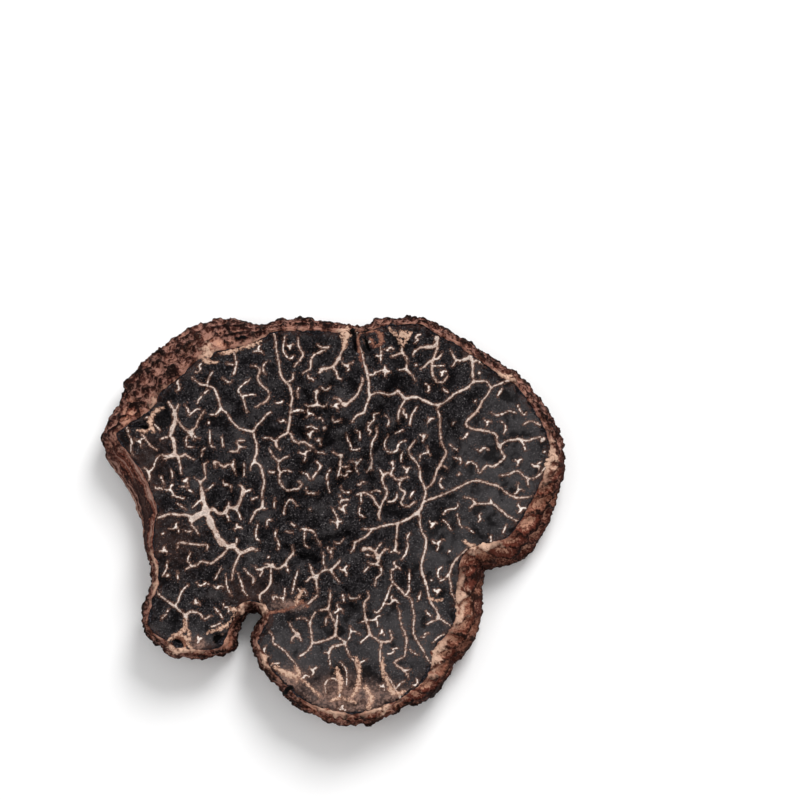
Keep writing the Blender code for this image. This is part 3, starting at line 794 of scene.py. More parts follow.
@dataclass(frozen=True)
class Finish:
    """A dry, dull surface: a ground colour, coats over it and a fine bump."""

    name: str
    ground: str
    coats: tuple[Coat, ...] = ()
    broad: Grain = Grain(2.0 * MM, 4.0)
    middle: Grain = Grain(0.75 * MM, 4.0, 0.6)
    fine: Grain = Grain(0.26 * MM, 3.0, 0.75)
    dust: Grain = Grain(0.17 * MM, 1.5)
    patch_range: tuple[float, float] = (0.40, 0.60)
    bump: float = 0.07 * MM
    middle_bump: float = 1.5
    roughness: float = 0.85
    ior: float = 1.45
    gloss: float = 0.22

    def material(self) -> bpy.types.Material:
        """Builds the material: each coat is mixed over the last by its eased measure.

        Returns:
            The new material.
        """
        material = bpy.data.materials.new(self.name)
        material.use_nodes = True
        tree = material.node_tree
        shader = tree.nodes["Principled BSDF"]
        shader.inputs["Roughness"].default_value = self.roughness
        shader.inputs["IOR"].default_value = self.ior
        shader.inputs["Specular IOR Level"].default_value = self.gloss
        measures = self.measures(tree)
        colour: object = linear(self.ground)
        for coat in self.coats:
            # Inputs 0, 6 and 7 of a Mix node are its share and its two colours
            inputs = {0: self.share(tree, measures, coat), 6: colour, 7: linear(coat.shade)}
            colour = add_node(tree, "ShaderNodeMix", inputs, output=2, data_type="RGBA")
        if self.coats:
            tree.links.new(colour, shader.inputs["Base Color"])
        else:
            shader.inputs["Base Color"].default_value = colour
        inputs = {0: measures["middle"], 1: self.middle_bump, 2: measures["fine"]}
        height = add_node(tree, "ShaderNodeMath", inputs, operation="MULTIPLY_ADD")
        inputs = {"Height": height, "Distance": self.bump, "Strength": 1.0}
        tree.links.new(add_node(tree, "ShaderNodeBump", inputs), shader.inputs["Normal"])
        return material

    def measures(self, tree: bpy.types.NodeTree) -> dict[str, bpy.types.NodeSocket]:
        """What the coats can follow: the noises, patches and blotches made from them, and attributes.

        Args:
            tree: The material's tree.

        Returns:
            Name to output.
        """
        place = add_node(tree, "ShaderNodeTexCoord", {}, output="Object")
        found = {}
        for noise in Noise:
            grain = getattr(self, noise.value)
            inputs = {"Vector": place, "Scale": 1 / grain.size}
            inputs |= {"Detail": grain.detail, "Roughness": grain.roughness}
            found[noise.value] = add_node(tree, "ShaderNodeTexNoise", inputs)
        low, high = self.patch_range
        for name, grain in (("patches", "broad"), ("blotches", "middle")):
            inputs = {"Value": found[grain], "From Min": low, "From Max": high}
            found[name] = add_node(tree, "ShaderNodeMapRange", inputs)
        for coat in self.coats:
            for name in (coat.measure, coat.times):
                if name and name not in found:
                    settings = {"output": "Fac", "attribute_name": name}
                    found[name] = add_node(tree, "ShaderNodeAttribute", {}, **settings)
        return found

    def share(
        self, tree: bpy.types.NodeTree, measures: dict[str, bpy.types.NodeSocket], coat: Coat
    ) -> bpy.types.NodeSocket:
        """How thick a coat lies, from 0 to 1.

        Args:
            tree: The material's tree.
            measures: Name to output.
            coat: The coat.

        Returns:
            The output that gives it.
        """
        value = measures[coat.measure]
        if coat.ragged:
            inputs = {0: measures[coat.grain.value], 1: coat.ragged, 2: value}
            value = add_node(tree, "ShaderNodeMath", inputs, operation="MULTIPLY_ADD")
        rising = coat.end > coat.start
        low, high = sorted((coat.start + coat.ragged / 2, coat.end + coat.ragged / 2))
        inputs = {"Value": value, "From Min": low, "From Max": high}
        inputs |= {"To Min": 0.0 if rising else coat.strength, "To Max": coat.strength if rising else 0.0}
        share = add_node(tree, "ShaderNodeMapRange", inputs, interpolation_type="SMOOTHSTEP")
        if coat.times:
            inputs = {0: share, 1: measures[coat.times]}
            share = add_node(tree, "ShaderNodeMath", inputs, operation="MULTIPLY")
        return share


# Dried truffle flesh, cut with a blade: charcoal tissue that looks dull and grainy, with chalky veins. Its
# hollows, creases, cracks and the pits of its grain are darkened as painted shade, and its leathery humps
# are lightened as painted highlight.
DRIED_FLESH = Finish(
    name="dried truffle flesh",
    ground="#0b090b",
    coats=(
        Coat("#252224", "fine", 0.40, 0.64),
        Coat("#555253", "fine", 0.57, 0.73, 0.75, times="blotches"),
        Coat("#524e50", "dust", 0.53, 0.71, 0.65),
        Coat("#8a8482", "dust", 0.59, 0.76, 0.65, times="patches"),
        # Painted shade: near black in the pits of the grain, where the fine noise runs low. Then darker
        # blotches where the middle noise runs low
        Coat("#020102", "fine", 0.46, 0.34, 0.9),
        Coat("#050405", "middle", 0.44, 0.30, 0.7),
        Coat("#4f4c4d", "pallor", 0.0, 1.1, 0.46, ragged=0.6, grain=Noise.DUST),
        Coat("#3a2721", "warmth", 0.2, 1.2, 0.45, ragged=1.5, grain=Noise.MIDDLE),
        Coat("#5e4c46", "amber", 0.05, 0.60, 0.85, ragged=2.5, grain=Noise.MIDDLE, times="amber"),
        Coat("#97776a", "amber", 0.50, 1.05, 0.85, ragged=4.0, times="amber"),
        Coat("#3a2a27", "middle", 0.50, 0.36, 0.8, times="amber"),
        Coat("#3c2620", "rim", 0.9, 0.2, 0.8, ragged=2.0, times="patches"),
        # Painted shade: near black down in the leather's hollows. Painted highlight: paler grey on its
        # humps
        Coat("#040304", "hollow", 0.15, 0.85, 0.75, ragged=0.6, grain=Noise.MIDDLE),
        Coat("#565252", "hollow", -0.25, -1.15, 0.30, ragged=3.5, grain=Noise.DUST),
        # Painted shade: near black in the pressed creases
        Coat("#020102", "crease", 0.18, -0.10, 0.7, ragged=1.2, grain=Noise.MIDDLE),
        Coat("#54392f", "vein", 0.19, 0.02, 0.78, ragged=0.6),
        Coat("#957a6c", "vein", 0.060, -0.005, 0.95, ragged=0.30),
        Coat("#c7ac9c", "vein", 0.030, -0.035, 0.75, ragged=0.45),
        Coat("#e6d8cd", "vein", 0.025, -0.020, 0.60, ragged=0.4, times="blotches"),
        Coat("#a98878", "vein", -0.060, -0.30, 0.85, ragged=2.0),
        Coat("#6e5248", "vein", -0.22, -0.50, 0.85, ragged=4.0, grain=Noise.DUST),
        Coat("#efe6de", "vein", 0.025, -0.035, 0.95, ragged=0.3, times="pale"),
        Coat("#5c3830", "skin", 0.10, -0.04, 0.9, ragged=0.8),
        Coat("#9a6d58", "skin", -0.02, -0.16, 0.7, ragged=1.5),
        Coat("#9a715d", "tan", 0.10, -0.05, 0.95, ragged=1.0),
        Coat("#d2b19b", "tan", -0.01, -0.13, 0.85, ragged=1.5),
        # Painted shade: near black inside the open cracks
        Coat("#040303", "crack", 0.09, -0.04, ragged=0.5),
    ),
    gloss=0.06,
)

# Dried truffle skin: reddish-brown bark of small horny warts, pale at the cut. The paler tops of warts and
# crumbs are painted highlights, and the dark creases between them painted shade.
DRIED_SKIN = Finish(
    name="dried truffle skin",
    ground="#260f0c",
    coats=(
        Coat("#4f2c25", "fine", 0.38, 0.62),
        Coat("#22100e", "broad", 0.50, 0.64, 0.75),
        Coat("#70392c", "ruddy", 0.25, 1.0, 0.7),
        Coat("#8f665b", "fine", 0.56, 0.72, 0.8, times="blotches"),
        # Painted highlight: wart tops paler as their dome rises
        Coat("#7c4e44", "dome", 0.40, 1.05, 0.7, ragged=3.0),
        Coat("#a87c6d", "dome", 0.85, 1.30, 0.7, ragged=3.6),
        Coat("#ad7660", "tint", 0.50, 1.00, 0.7, ragged=2.0, times="ruddy"),
        # Painted highlight: paler tops of the lumps in the ruddy stretches
        Coat("#d19c82", "dome", 0.55, 1.00, 0.95, ragged=2.4, times="ruddy"),
        # Painted highlight on the raised crumbs, and painted shade between them
        Coat("#a57a6d", "crumb", 0.45, 1.00, 0.55, ragged=1.6),
        Coat("#1d0a08", "crumb", 0.05, -0.60, 0.75, ragged=1.2),
        # Painted shade: near black in the creases between warts
        Coat("#120503", "dome", 0.40, 0.02, 0.97, ragged=1.1),
        Coat("#9b776b", "fibre", 0.48, 0.90, 0.85, ragged=0.8),
        Coat("#160b0a", "fibre", 0.42, 0.08, 0.9, ragged=0.8),
        Coat("#221b1c", "ridge", -0.1, -0.7, 0.80, ragged=0.6),
        Coat("#8f6c5e", "ridge", 0.25, 0.85, 0.8, ragged=1.6, grain=Noise.MIDDLE),
        Coat("#b9978a", "ridge", 0.55, 1.05, 0.8, ragged=3.0),
        Coat("#633c30", "lip", 0.55, 1.15, 0.8, ragged=2.4, times="lip"),
        Coat("#a97f6c", "lip", 0.90, 1.35, 0.8, ragged=3.4, times="lip", grain=Noise.MIDDLE),
        Coat("#dfb8a0", "lip", 0.50, 1.05, 1.0, ragged=3.4, times="tan_stretch", grain=Noise.MIDDLE),
        Coat("#5c3429", "fine", 0.50, 0.36, 0.7, times="tan_stretch"),
        Coat("#151315", "inner", 0.35, 0.65),
        Coat("#46434a", "dust", 0.50, 0.68, 0.8, times="inner"),
        # Painted shade: near black in the holes under flaps
        Coat("#060404", "pit", 0.40, 0.75, ragged=1.2),
    ),
    broad=Grain(1.4 * MM, 4.0),
    fine=Grain(0.30 * MM, 4.0, 0.75),
    bump=0.16 * MM,
    roughness=0.75,
    gloss=0.07,
)

# Matt white board: even and bright, so it shows nothing but the slice's soft shadow.
WHITE_BOARD = Finish(name="white board", ground="#fbfbfb", bump=0.0, roughness=0.95, gloss=0.1)


@dataclass(frozen=True)
class Shake:
    """Noise that moves places: how far at most, the side of its cells, and its seed along each axis."""

    reach: float
    cell: float
    seeds: tuple[int, ...]

    def moves(self, places: np.ndarray) -> np.ndarray:
        """How far each place moves along each axis: the reach times value noise."""
        noises = [value_noise(places, self.cell, seed) for seed in self.seeds]
        return self.reach * np.stack(noises, axis=-1)


@dataclass
class Strand:
    """One line drawn on a cut face, with its half width at each point and how pale it is."""

    points: np.ndarray
    half_widths: np.ndarray
    mark: Mark
    pale: float = 0.5


@dataclass
class Lattice:
    """A square lattice over a cut face, which measures how far its points lie from strands."""

    low: np.ndarray
    spacing: float
    shape: tuple[int, int]
    x: np.ndarray = field(init=False)
    y: np.ndarray = field(init=False)
    places: np.ndarray = field(init=False)

    def __post_init__(self) -> None:
        """Lays out the coordinates of the points."""
        across = self.low[0] + self.spacing * np.arange(self.shape[0])
        along = self.low[1] + self.spacing * np.arange(self.shape[1])
        self.x, self.y = np.meshgrid(across, along, indexing="ij")
        self.places = np.stack([self.x, self.y], axis=-1)

    def window(self, points: np.ndarray, reach: float) -> tuple[slice, slice] | None:
        """The part of the lattice within reach of some points.

        Args:
            points: An (n, 2) array.
            reach: How far round them, in metres.

        Returns:
            A pair of slices, or None where they lie off the lattice.
        """
        low = np.floor((points.min(axis=0) - reach - self.low) / self.spacing).astype(int)
        high = np.ceil((points.max(axis=0) + reach - self.low) / self.spacing).astype(int) + 1
        low, high = np.maximum(low, 0), np.minimum(high, self.shape)
        return None if (low >= high).any() else (slice(low[0], high[0]), slice(low[1], high[1]))

    def near_strand(self, strand: Strand, reach: float) -> np.ndarray:
        """Distances from the edge of a strand: for each piece of its line, the distance to the nearest
        place on the piece less the half width there, and the least of these.

        Args:
            strand: The line to measure from.
            reach: How far from the line it is measured, and the result further off.

        Returns:
            Distances in the lattice's shape.
        """
        out = np.full(self.shape, reach)
        for i in range(len(strand.points) - 1):
            ends = strand.points[i : i + 2]
            part = self.window(ends, reach)
            if part is None:
                continue
            step = ends[1] - ends[0]
            dx, dy = self.x[part] - ends[0, 0], self.y[part] - ends[0, 1]
            share = np.clip((dx * step[0] + dy * step[1]) / max(step @ step, LEAST_SQUARE), 0.0, 1.0)
            width = strand.half_widths[i] + share * (strand.half_widths[i + 1] - strand.half_widths[i])
            near = np.hypot(dx - share * step[0], dy - share * step[1]) - width
            out[part] = np.minimum(out[part], near)
        return out

    def near_marks(
        self, strands: list[Strand], mark: Mark, reach: float, webbing: float
    ) -> tuple[np.ndarray, np.ndarray]:
        """Distance from the edges of all strands of one mark. Where strands meet, their distances d are
        joined as -w ln(sum exp(-d/w)), which fills the corners between them like a web. Paleness is the
        mean of the strands' own, weighted by the same exponentials.

        Args:
            strands: The lines to measure from.
            mark: Which of them count.
            reach: How far from a line it is measured; further off the result is reach.
            webbing: The length w.

        Returns:
            Distances in metres, less than 0 inside a strand, and paleness.
        """
        least = math.exp(-reach / webbing)
        total = np.full(self.shape, least)
        pale = total * 0.5
        for strand in strands:
            part = self.window(strand.points, reach)
            if strand.mark is not mark or part is None:
                continue
            corner = np.array([self.x[part][0, 0], self.y[part][0, 0]])
            weight = Lattice(corner, self.spacing, self.x[part].shape).near_strand(strand, reach)
            weight = np.exp(-weight / webbing) - least
            total[part] += weight
            pale[part] += weight * strand.pale
        return -webbing * np.log(total), pale / total


@dataclass
class VeinNet:
    """All that is drawn on a cut face: listed veins, knots, flaps and creases, and the short flecks
    that are grown between them by a seeded rule."""

    # Every line: its points a span, how it wavers and drifts, and how its width varies
    seed: int = 5
    span_steps: int = 4
    shakes: tuple[Shake, ...] = (Shake(0.07 * MM, 0.8 * MM, (8, 13)), Shake(0.035 * MM, 0.28 * MM, (9, 14)))
    drift: Shake = Shake(1.6 * MM, 5.0 * MM, (45, 46))
    unevenness: float = 0.55
    uneven_length: float = 0.45 * MM
    uneven_seed: int = 25
    taper: float = 0.45
    taper_length: float = 0.25
    blunt_end: float = 0.15

    # Read lines: how wide they are drawn, and how pale, with narrow ones palest
    width_share: float = 0.64
    narrow: float = 1.7
    narrow_pale: float = 0.75
    wide_pale: float = 0.22
    pale_spread: float = 0.2

    # Knots: how large they are drawn, how pale, and the short thick line that makes one
    knot_share: float = 0.62
    knot_pale: float = 0.25
    knot_ends: tuple[tuple[float, float], ...] = ((-0.3, -0.2), (0.3, 0.2))
    knot_width: float = 0.7

    # Flecks: how many, the odds of each kind, their sizes and how far they keep from others
    flecks: int = 130
    fleck_tries: int = 8
    fleck_odds: tuple[float, ...] = (0.26, 0.24, 0.20, 0.20, 0.10)
    fleck_size: tuple[float, float] = (0.30 * MM, 0.60 * MM)
    fleck_half_width: tuple[float, float] = (0.040 * MM, 0.062 * MM)
    fleck_pale: tuple[float, float] = (0.5, 1.0)
    dot_radius: tuple[float, float] = (0.08 * MM, 0.13 * MM)
    dot_pale: float = 0.8
    clearance: float = 0.56 * MM
    crowding: float = 1.9
    strands: list[Strand] = field(default_factory=list, init=False)

    def place_read_lines(self) -> None:
        """Adds every listed line and knot to the net. Narrow veins are paler than wide ones."""
        groups = (
            (Mark.VEIN, VEINS_UPPER_LEFT + VEINS_LEFT + VEINS_MIDDLE),
            (Mark.VEIN, VEINS_UPPER_RIGHT + VEINS_LOWER_RIGHT + VEINS_LOWER),
            (Mark.TAN, TAN_LINES),
            (Mark.SKIN, SKIN_LINES),
            (Mark.CRACK, CRACK_LINES),
            (Mark.CREASE, CREASE_LINES),
        )
        draw = np.random.default_rng(self.seed + 1)
        for mark, lines in groups:
            for width, *stations in lines:
                places = on_slice(*np.reshape(stations, (-1, 2)).T, THICKNESS)[:, :2]
                share = self.width_share if mark is Mark.VEIN else 1.0
                pale = self.narrow_pale if width < self.narrow else self.wide_pale
                pale += draw.uniform(-self.pale_spread, self.pale_spread)
                self.strands.append(self.strand(places, width * share * READING / 2, mark, pale))
        for right, down, radius in KNOTS:
            radius *= self.knot_share * READING
            self.strands.append(self.knot(face_place(right, down), radius, self.knot_pale))

    def strand(self, places: np.ndarray, half_width: float, mark: Mark, pale: float) -> Strand:
        """A smooth, slightly wavering line through some places, of uneven width and thinner at both ends.

        Args:
            places: An (n, 2) array.
            half_width: Half of its width in the middle.
            mark: What it is made of.
            pale: How pale it is, from 0 to 1.

        Returns:
            The strand.
        """
        ends = np.vstack([2 * places[0] - places[1], places, 2 * places[-1] - places[-2]])
        line = np.vstack([rounded(ends, self.span_steps), places[-1:]])
        for shake in self.shakes:
            line = line + shake.moves(line)
        share = np.linspace(0.0, 1.0, len(line))
        full = smooth_step(np.minimum(share, 1 - share) / self.taper_length + self.blunt_end)
        thin = 1 - self.taper * (1 - full)
        uneven = 1 + self.unevenness * value_noise(line, self.uneven_length, self.uneven_seed)
        return Strand(line, half_width * thin * uneven, mark, pale)

    def knot(self, place: np.ndarray, radius: float, pale: float) -> Strand:
        """A small uneven swelling of pale flesh, as a short thick line."""
        ends = place + np.array(self.knot_ends) * radius
        return Strand(ends, np.full(2, radius * self.knot_width), Mark.VEIN, pale)

    def fleck(self, kind: Fleck, place: np.ndarray, draw: np.random.Generator) -> list[Strand]:
        """One short mark between the veins.

        Args:
            kind: Its form.
            place: Its middle.
            draw: The random draw.

        Returns:
            The strands that it is made of.
        """
        turn = draw.uniform(0.0, math.tau)
        size = draw.uniform(*self.fleck_size)

        def at(angle: float, share: float) -> np.ndarray:
            """A place at this angle and share of the size from the middle."""
            return place + size * share * np.array([math.cos(turn + angle), math.sin(turn + angle)])

        if kind is Fleck.DOT:
            return [self.knot(place, draw.uniform(*self.dot_radius), self.dot_pale)]
        if kind is Fleck.DASH:
            middle, end = DASH_SHARES
            lines = [[at(0.0, 1.0), at(draw.uniform(-1, 1), middle), at(math.pi, end)]]
        elif kind is Fleck.FORK:
            arms = [0.0, *(draw.uniform(*angles) for angles in FORK_ARMS)]
            bend, share = FORK_BEND
            lines = [[place, at(arm + bend, share), at(arm, draw.uniform(*FORK_REACH))] for arm in arms]
        else:
            lines = [[at(*spot) for spot in FLECK_FORMS[kind]]]
        half_width = draw.uniform(*self.fleck_half_width)
        pale = draw.uniform(*self.fleck_pale)
        return [self.strand(np.array(line), half_width, Mark.VEIN, pale) for line in lines]

    def grow_flecks(self, lattice: Lattice, room: np.ndarray) -> None:
        """Fills free flesh with short marks, each at a random free place away from those before it.

        Args:
            lattice: The lattice of the upper face.
            room: How far each of its points is from the nearest vein or border.
        """
        draw = np.random.default_rng(self.seed)
        free = np.argwhere(room > self.clearance)
        placed = np.zeros((0, 2))
        for _ in range(self.flecks * self.fleck_tries):
            i, j = free[draw.integers(len(free))]
            place = np.array([lattice.x[i, j], lattice.y[i, j]])
            apart = self.crowding * self.clearance
            crowded = len(placed) and np.hypot(*(placed - place).T).min() < apart
            if crowded or len(placed) >= self.flecks:
                continue
            placed = np.vstack([placed, place])
            kind = Fleck(int(draw.choice(len(Fleck), p=self.fleck_odds)))
            self.strands += self.fleck(kind, place, draw)

    def drifted(self) -> list[Strand]:
        """The same net deeper in the slice, where every strand has drifted aside by noise.

        Returns:
            Strands for the under face.
        """
        moved = []
        for strand in self.strands:
            points = strand.points + self.drift.moves(strand.points)
            moved.append(Strand(points, strand.half_widths, strand.mark, strand.pale))
        return moved


@dataclass
class Rim:
    """The guide loops of the skin: the cut edge, the widest line and the border underneath, and the
    directions that point outwards from them. A chord spans this many stations to each side."""

    stations: int = 1120
    span_steps: int = 10
    chord: int = 4
    smoothing: int = 30
    cut: np.ndarray = field(init=False)
    widest: np.ndarray = field(init=False)
    under: np.ndarray = field(init=False)
    outward: np.ndarray = field(init=False)

    def __post_init__(self) -> None:
        """Works out the loops. The skin flares by the third number of a station of the cut edge, square to
        the edge's chords, whose directions are blended with those beside them round after round."""
        read = np.array(CUT_EDGE, float)
        around = np.vstack([read[-1:], read, read[:2]])
        loop = even_steps(rounded(around, self.span_steps), self.stations)
        edge, flare = loop[:, :2], loop[:, 2]
        tangent = np.roll(edge, -self.chord, axis=0) - np.roll(edge, self.chord, axis=0)
        out = np.stack([tangent[:, 1], -tangent[:, 0]], axis=1)
        for _ in range(self.smoothing):
            out = np.roll(out, 1, axis=0) + 2 * out + np.roll(out, -1, axis=0)
            out /= np.hypot(*out.T)[:, None]
        reach = edge + out * flare[:, None]
        cut = on_slice(*edge.T, THICKNESS)
        cut[:, 2] += swelling(cut[:, 0], cut[:, 1])
        widest = on_slice(*reach.T, THICKNESS * WIDEST_SHARE)
        out = np.concatenate([out * [1.0, -1.0], np.zeros((len(out), 1))], axis=1)
        gap = ((widest - cut) * out).sum(axis=1)
        widest += out * np.maximum(LEAST_FLARE - gap, 0.0)[:, None]
        under = widest - out * UNDER_INSET
        under[:, 2] = curl(under[:, 0], under[:, 1])
        self.cut, self.widest, self.under, self.outward = cut, widest, under, out


def dressed_piece(
    name: str,
    places: np.ndarray,
    faces: list,
    attributes: dict[str, np.ndarray],
    map_places: np.ndarray,
    material: bpy.types.Material,
) -> bpy.types.Object:
    """Makes a smooth-shaded object that stands for the solid and rides on its body.

    Args:
        name: The object's name.
        places: An (n, 3) array of vertices.
        faces: Lists of vertex numbers.
        attributes: Attribute name to one value a vertex.
        map_places: A (corners, 2) array, the surface map's place of each face corner.
        material: What it is dressed with.

    Returns:
        The new object.
    """
    mesh = bpy.data.meshes.new(name)
    mesh.from_pydata(places, [], faces)
    for label, values in attributes.items():
        mesh.attributes.new(label, "FLOAT", "POINT").data.foreach_set("value", values.astype(np.float32))
    layer = mesh.uv_layers.new(name="OFBake")
    layer.data.foreach_set("uv", map_places.astype(np.float32).ravel())
    mesh.shade_smooth()
    mesh.materials.append(material)
    piece = bpy.data.objects.new(name, mesh)
    bpy.context.scene.collection.objects.link(piece)
    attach(piece, "root")
    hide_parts(NODE_NAME)
    LOG.info("%s: %d triangles", name, sum(len(face) - 2 for face in faces))
    return piece


@dataclass
class FleshSheet:
    """A closed sheet of flesh: a fine cut face on a lattice, a coarser back inside the slice, and walls
    between them that the skin's lip covers."""

    name: str
    side: Side
    border: np.ndarray
    spacing: float
    depth: float = 1.2 * MM
    reach: float = 1.3 * MM
    webbing: float = 0.058 * MM

    # What the face slopes up or down to: the measure, the rise and the width of the slope
    banks: tuple[tuple[str, float, float], ...] = (
        ("vein", 0.10 * MM, 0.22 * MM),
        ("tan", 0.12 * MM, 0.15 * MM),
        ("crease", -0.42 * MM, 0.34 * MM),
        ("crack", -0.40 * MM, 0.10 * MM),
        ("rim", -0.16 * MM, 0.30 * MM),
    )

    # Raised shoulders along creases, and leathery noises (rise, cell)
    shoulder_rise: float = 0.12 * MM
    shoulder_off: float = 0.75 * MM
    shoulder_width: float = 0.3 * MM
    leather: tuple[tuple[float, float], ...] = (
        (0.13 * MM, 1.25 * MM),
        (0.09 * MM, 0.60 * MM),
        (0.045 * MM, 0.30 * MM),
    )

    # The under face: how high it has to curl for its full relief, and what it keeps of the relief
    lift: float = 0.30 * MM
    pressed_share: float = 0.8
    raised_share: float = 0.6
    lattice: Lattice = field(init=False)

    def __post_init__(self) -> None:
        """Lays the lattice over the border's box, with an even number of cells each way."""
        low, high = self.border[:, :2].min(axis=0), self.border[:, :2].max(axis=0)
        cells = 2 * np.ceil((high - low) / (2 * self.spacing)).astype(int)
        self.lattice = Lattice(low, self.spacing, tuple(cells + 1))

    def rim_distance(self) -> np.ndarray:
        """How far each lattice point lies from the border, up to the reach."""
        closed = np.vstack([self.border[:, :2], self.border[:1, :2]])
        return self.lattice.near_strand(Strand(closed, np.zeros(len(closed)), Mark.SKIN), self.reach)

    def free_room(self, strands: list[Strand]) -> np.ndarray:
        """How far each point is from veins and border, and 0 outside the border.

        Args:
            strands: What is drawn on this face.

        Returns:
            Distances in the lattice's shape.
        """
        veins = self.lattice.near_marks(strands, Mark.VEIN, self.reach, self.webbing)[0]
        within = inside(self.lattice.x, self.lattice.y, self.border[::4, :2])
        return np.minimum(veins, self.rim_distance()) * within

    def fields(self, strands: list[Strand]) -> dict[str, np.ndarray]:
        """The face's attributes: distances in millimetres from each kind of mark and from the rim, how
        pale the nearest vein is, soft patches of grey, amber and brown flesh, and hollows.

        Args:
            strands: What is drawn on this face.

        Returns:
            Attribute name to an array in the lattice's shape.
        """
        found = {}
        for mark in Mark:
            distance, pale = self.lattice.near_marks(strands, mark, self.reach, self.webbing)
            found[mark.value] = distance / MM
            if mark is Mark.VEIN:
                found["pale"] = pale
        found["rim"] = self.rim_distance() / MM
        patches = (("pallor", PALE_PATCHES), ("amber", AMBER_PATCHES), ("warmth", WARM_PATCHES))
        for label, places in patches:
            found[label] = near_patches(self.lattice.places, places)
        found["hollow"] = self.hollows()
        return found

    def hollows(self) -> np.ndarray:
        """Hollows and humps of dried leather: the noises of three sizes, added up.

        Returns:
            Depths in the lattice's shape, 1 at the floor of a broad hollow.
        """
        total = np.zeros(self.lattice.shape)
        for layer, (rise, cell) in enumerate(self.leather):
            total -= rise * value_noise(self.lattice.places, cell, layer + 1)
        return total / self.leather[0][0]

    def relief(self, found: dict[str, np.ndarray]) -> np.ndarray:
        """How far the face stands out: raised veins and flaps, pressed creases with raised shoulders,
        cracks, a gutter along the rim, and the hollows and humps of dried leather. A bank is its rise
        times the eased share of its slope, and a shoulder a bell curve of the distance from its crest.

        Args:
            found: The fields of the face.

        Returns:
            Heights in metres, in the lattice's shape.
        """
        height = np.zeros(self.lattice.shape)
        for measure, rise, slope in self.banks:
            height += rise * smooth_step(1 - found[measure] * MM / slope)
        height += self.shoulder_rise * bell(found["crease"] * MM, self.shoulder_off, self.shoulder_width)
        return height - found["hollow"] * self.leather[0][0]

    def build(self, strands: list[Strand], material: bpy.types.Material) -> bpy.types.Object:
        """Makes the sheet. The upper face stands out by its relief. The under face keeps only what is
        pressed in where the slice rests, so its flat spot stays flat.

        Args:
            strands: What is drawn on its face.
            material: What it is dressed with.

        Returns:
            The new object.
        """
        found, lattice = self.fields(strands), self.lattice
        relief, base = self.relief(found), curl(lattice.x, lattice.y)
        if self.side is Side.UPPER:
            height = base + THICKNESS + swelling(lattice.x, lattice.y) + relief
        else:
            height = base - np.minimum(relief, 0.0) * self.pressed_share
            height -= self.raised_share * smooth_step(base / self.lift) * np.maximum(relief, 0.0)
        face_used, back_used, faces = self.topology()
        face = np.stack([lattice.x, lattice.y, height], axis=2)
        back = face[::2, ::2] - [0.0, 0.0, self.side.value * self.depth]
        places = np.vstack([face[face_used], back[back_used]])
        values = {}
        for label, array in found.items():
            values[label] = np.concatenate([array[face_used], array[::2, ::2][back_used]])
        flat = self.surface_map(places, faces, int(face_used.sum()))
        return dressed_piece(self.name, places, faces, values, flat, material)

    def kept_cells(self) -> np.ndarray:
        """Which cells of twice the spacing have all four corners inside the border."""
        held = inside(self.lattice.x[::2, ::2], self.lattice.y[::2, ::2], self.border[::2, :2])
        return held[:-1, :-1] & held[1:, :-1] & held[:-1, 1:] & held[1:, 1:]

    def topology(self) -> tuple[np.ndarray, np.ndarray, list]:
        """How the points join: four fine cells for each kept coarse cell, one coarse cell at the back, and
        a five-sided wall at each side of a kept cell that has no kept neighbour.

        Returns:
            Masks of the used fine and coarse points, and the faces.
        """
        kept = self.kept_cells()
        fine = np.kron(kept, np.ones((2, 2), bool)).astype(bool)
        face_used = np.zeros(self.lattice.shape, bool)
        back_used = np.zeros((kept.shape[0] + 1, kept.shape[1] + 1), bool)
        for used, cells in ((face_used, fine), (back_used, kept)):
            for part in (used[:-1, :-1], used[1:, :-1], used[:-1, 1:], used[1:, 1:]):
                part |= cells
        face_number = np.cumsum(face_used).reshape(face_used.shape) - 1
        back_number = np.cumsum(back_used).reshape(back_used.shape) - 1 + face_used.sum()
        turn = self.side.value
        faces = []
        for number, cells, way in ((face_number, fine, turn), (back_number, kept, -turn)):
            i, j = np.nonzero(cells)
            quads = [number[i, j], number[i + 1, j], number[i + 1, j + 1], number[i, j + 1]]
            faces += np.stack(quads, axis=1)[:, ::way].tolist()
        padded = np.pad(kept, 1)
        for (di, dj), (ai, aj), (bi, bj) in CELL_SIDES:
            neighbour = padded[1 + di : 1 + di + kept.shape[0], 1 + dj : 1 + dj + kept.shape[1]]
            i, j = np.nonzero(kept & ~neighbour)
            first, last = face_number[2 * (i + ai), 2 * (j + aj)], face_number[2 * (i + bi), 2 * (j + bj)]
            middle = face_number[2 * i + ai + bi, 2 * j + aj + bj]
            behind = (back_number[i + ai, j + aj], back_number[i + bi, j + bj])
            faces += np.stack([last, middle, first, *behind], axis=1)[:, ::turn].tolist()
        return face_used, back_used, faces

    def surface_map(self, places: np.ndarray, faces: list, face_count: int) -> np.ndarray:
        """A flat map: the cut face seen from above, with the hidden back and walls in a small corner.

        Args:
            places: The vertices.
            faces: Lists of vertex numbers.
            face_count: How many of the vertices are on the cut face.

        Returns:
            One place a face corner.
        """
        low, high = places[:, :2].min(axis=0), places[:, :2].max(axis=0)
        flat = (places[:, :2] - low) / ((high - low).max() * MAP_MARGIN) + [0.0, MAP_CORNER]
        corners = np.concatenate([np.array(face) for face in faces])
        lengths = np.array([len(face) for face in faces])
        hidden = np.array([max(face) >= face_count for face in faces])
        tucked = flat[corners] * MAP_CORNER * CORNER_FILL
        return np.where(np.repeat(hidden, lengths)[:, None], tucked, flat[corners])


@dataclass(frozen=True)
class Guide:
    """A line along the ring: its row, the loop that it follows, and how far inwards of the loop it lies,
    how far inwards again as a share of the lip's width, and how far up."""

    row: float
    loop: Loop
    inwards: float = 0.0
    lip_share: float = 0.0
    up: float = 0.0


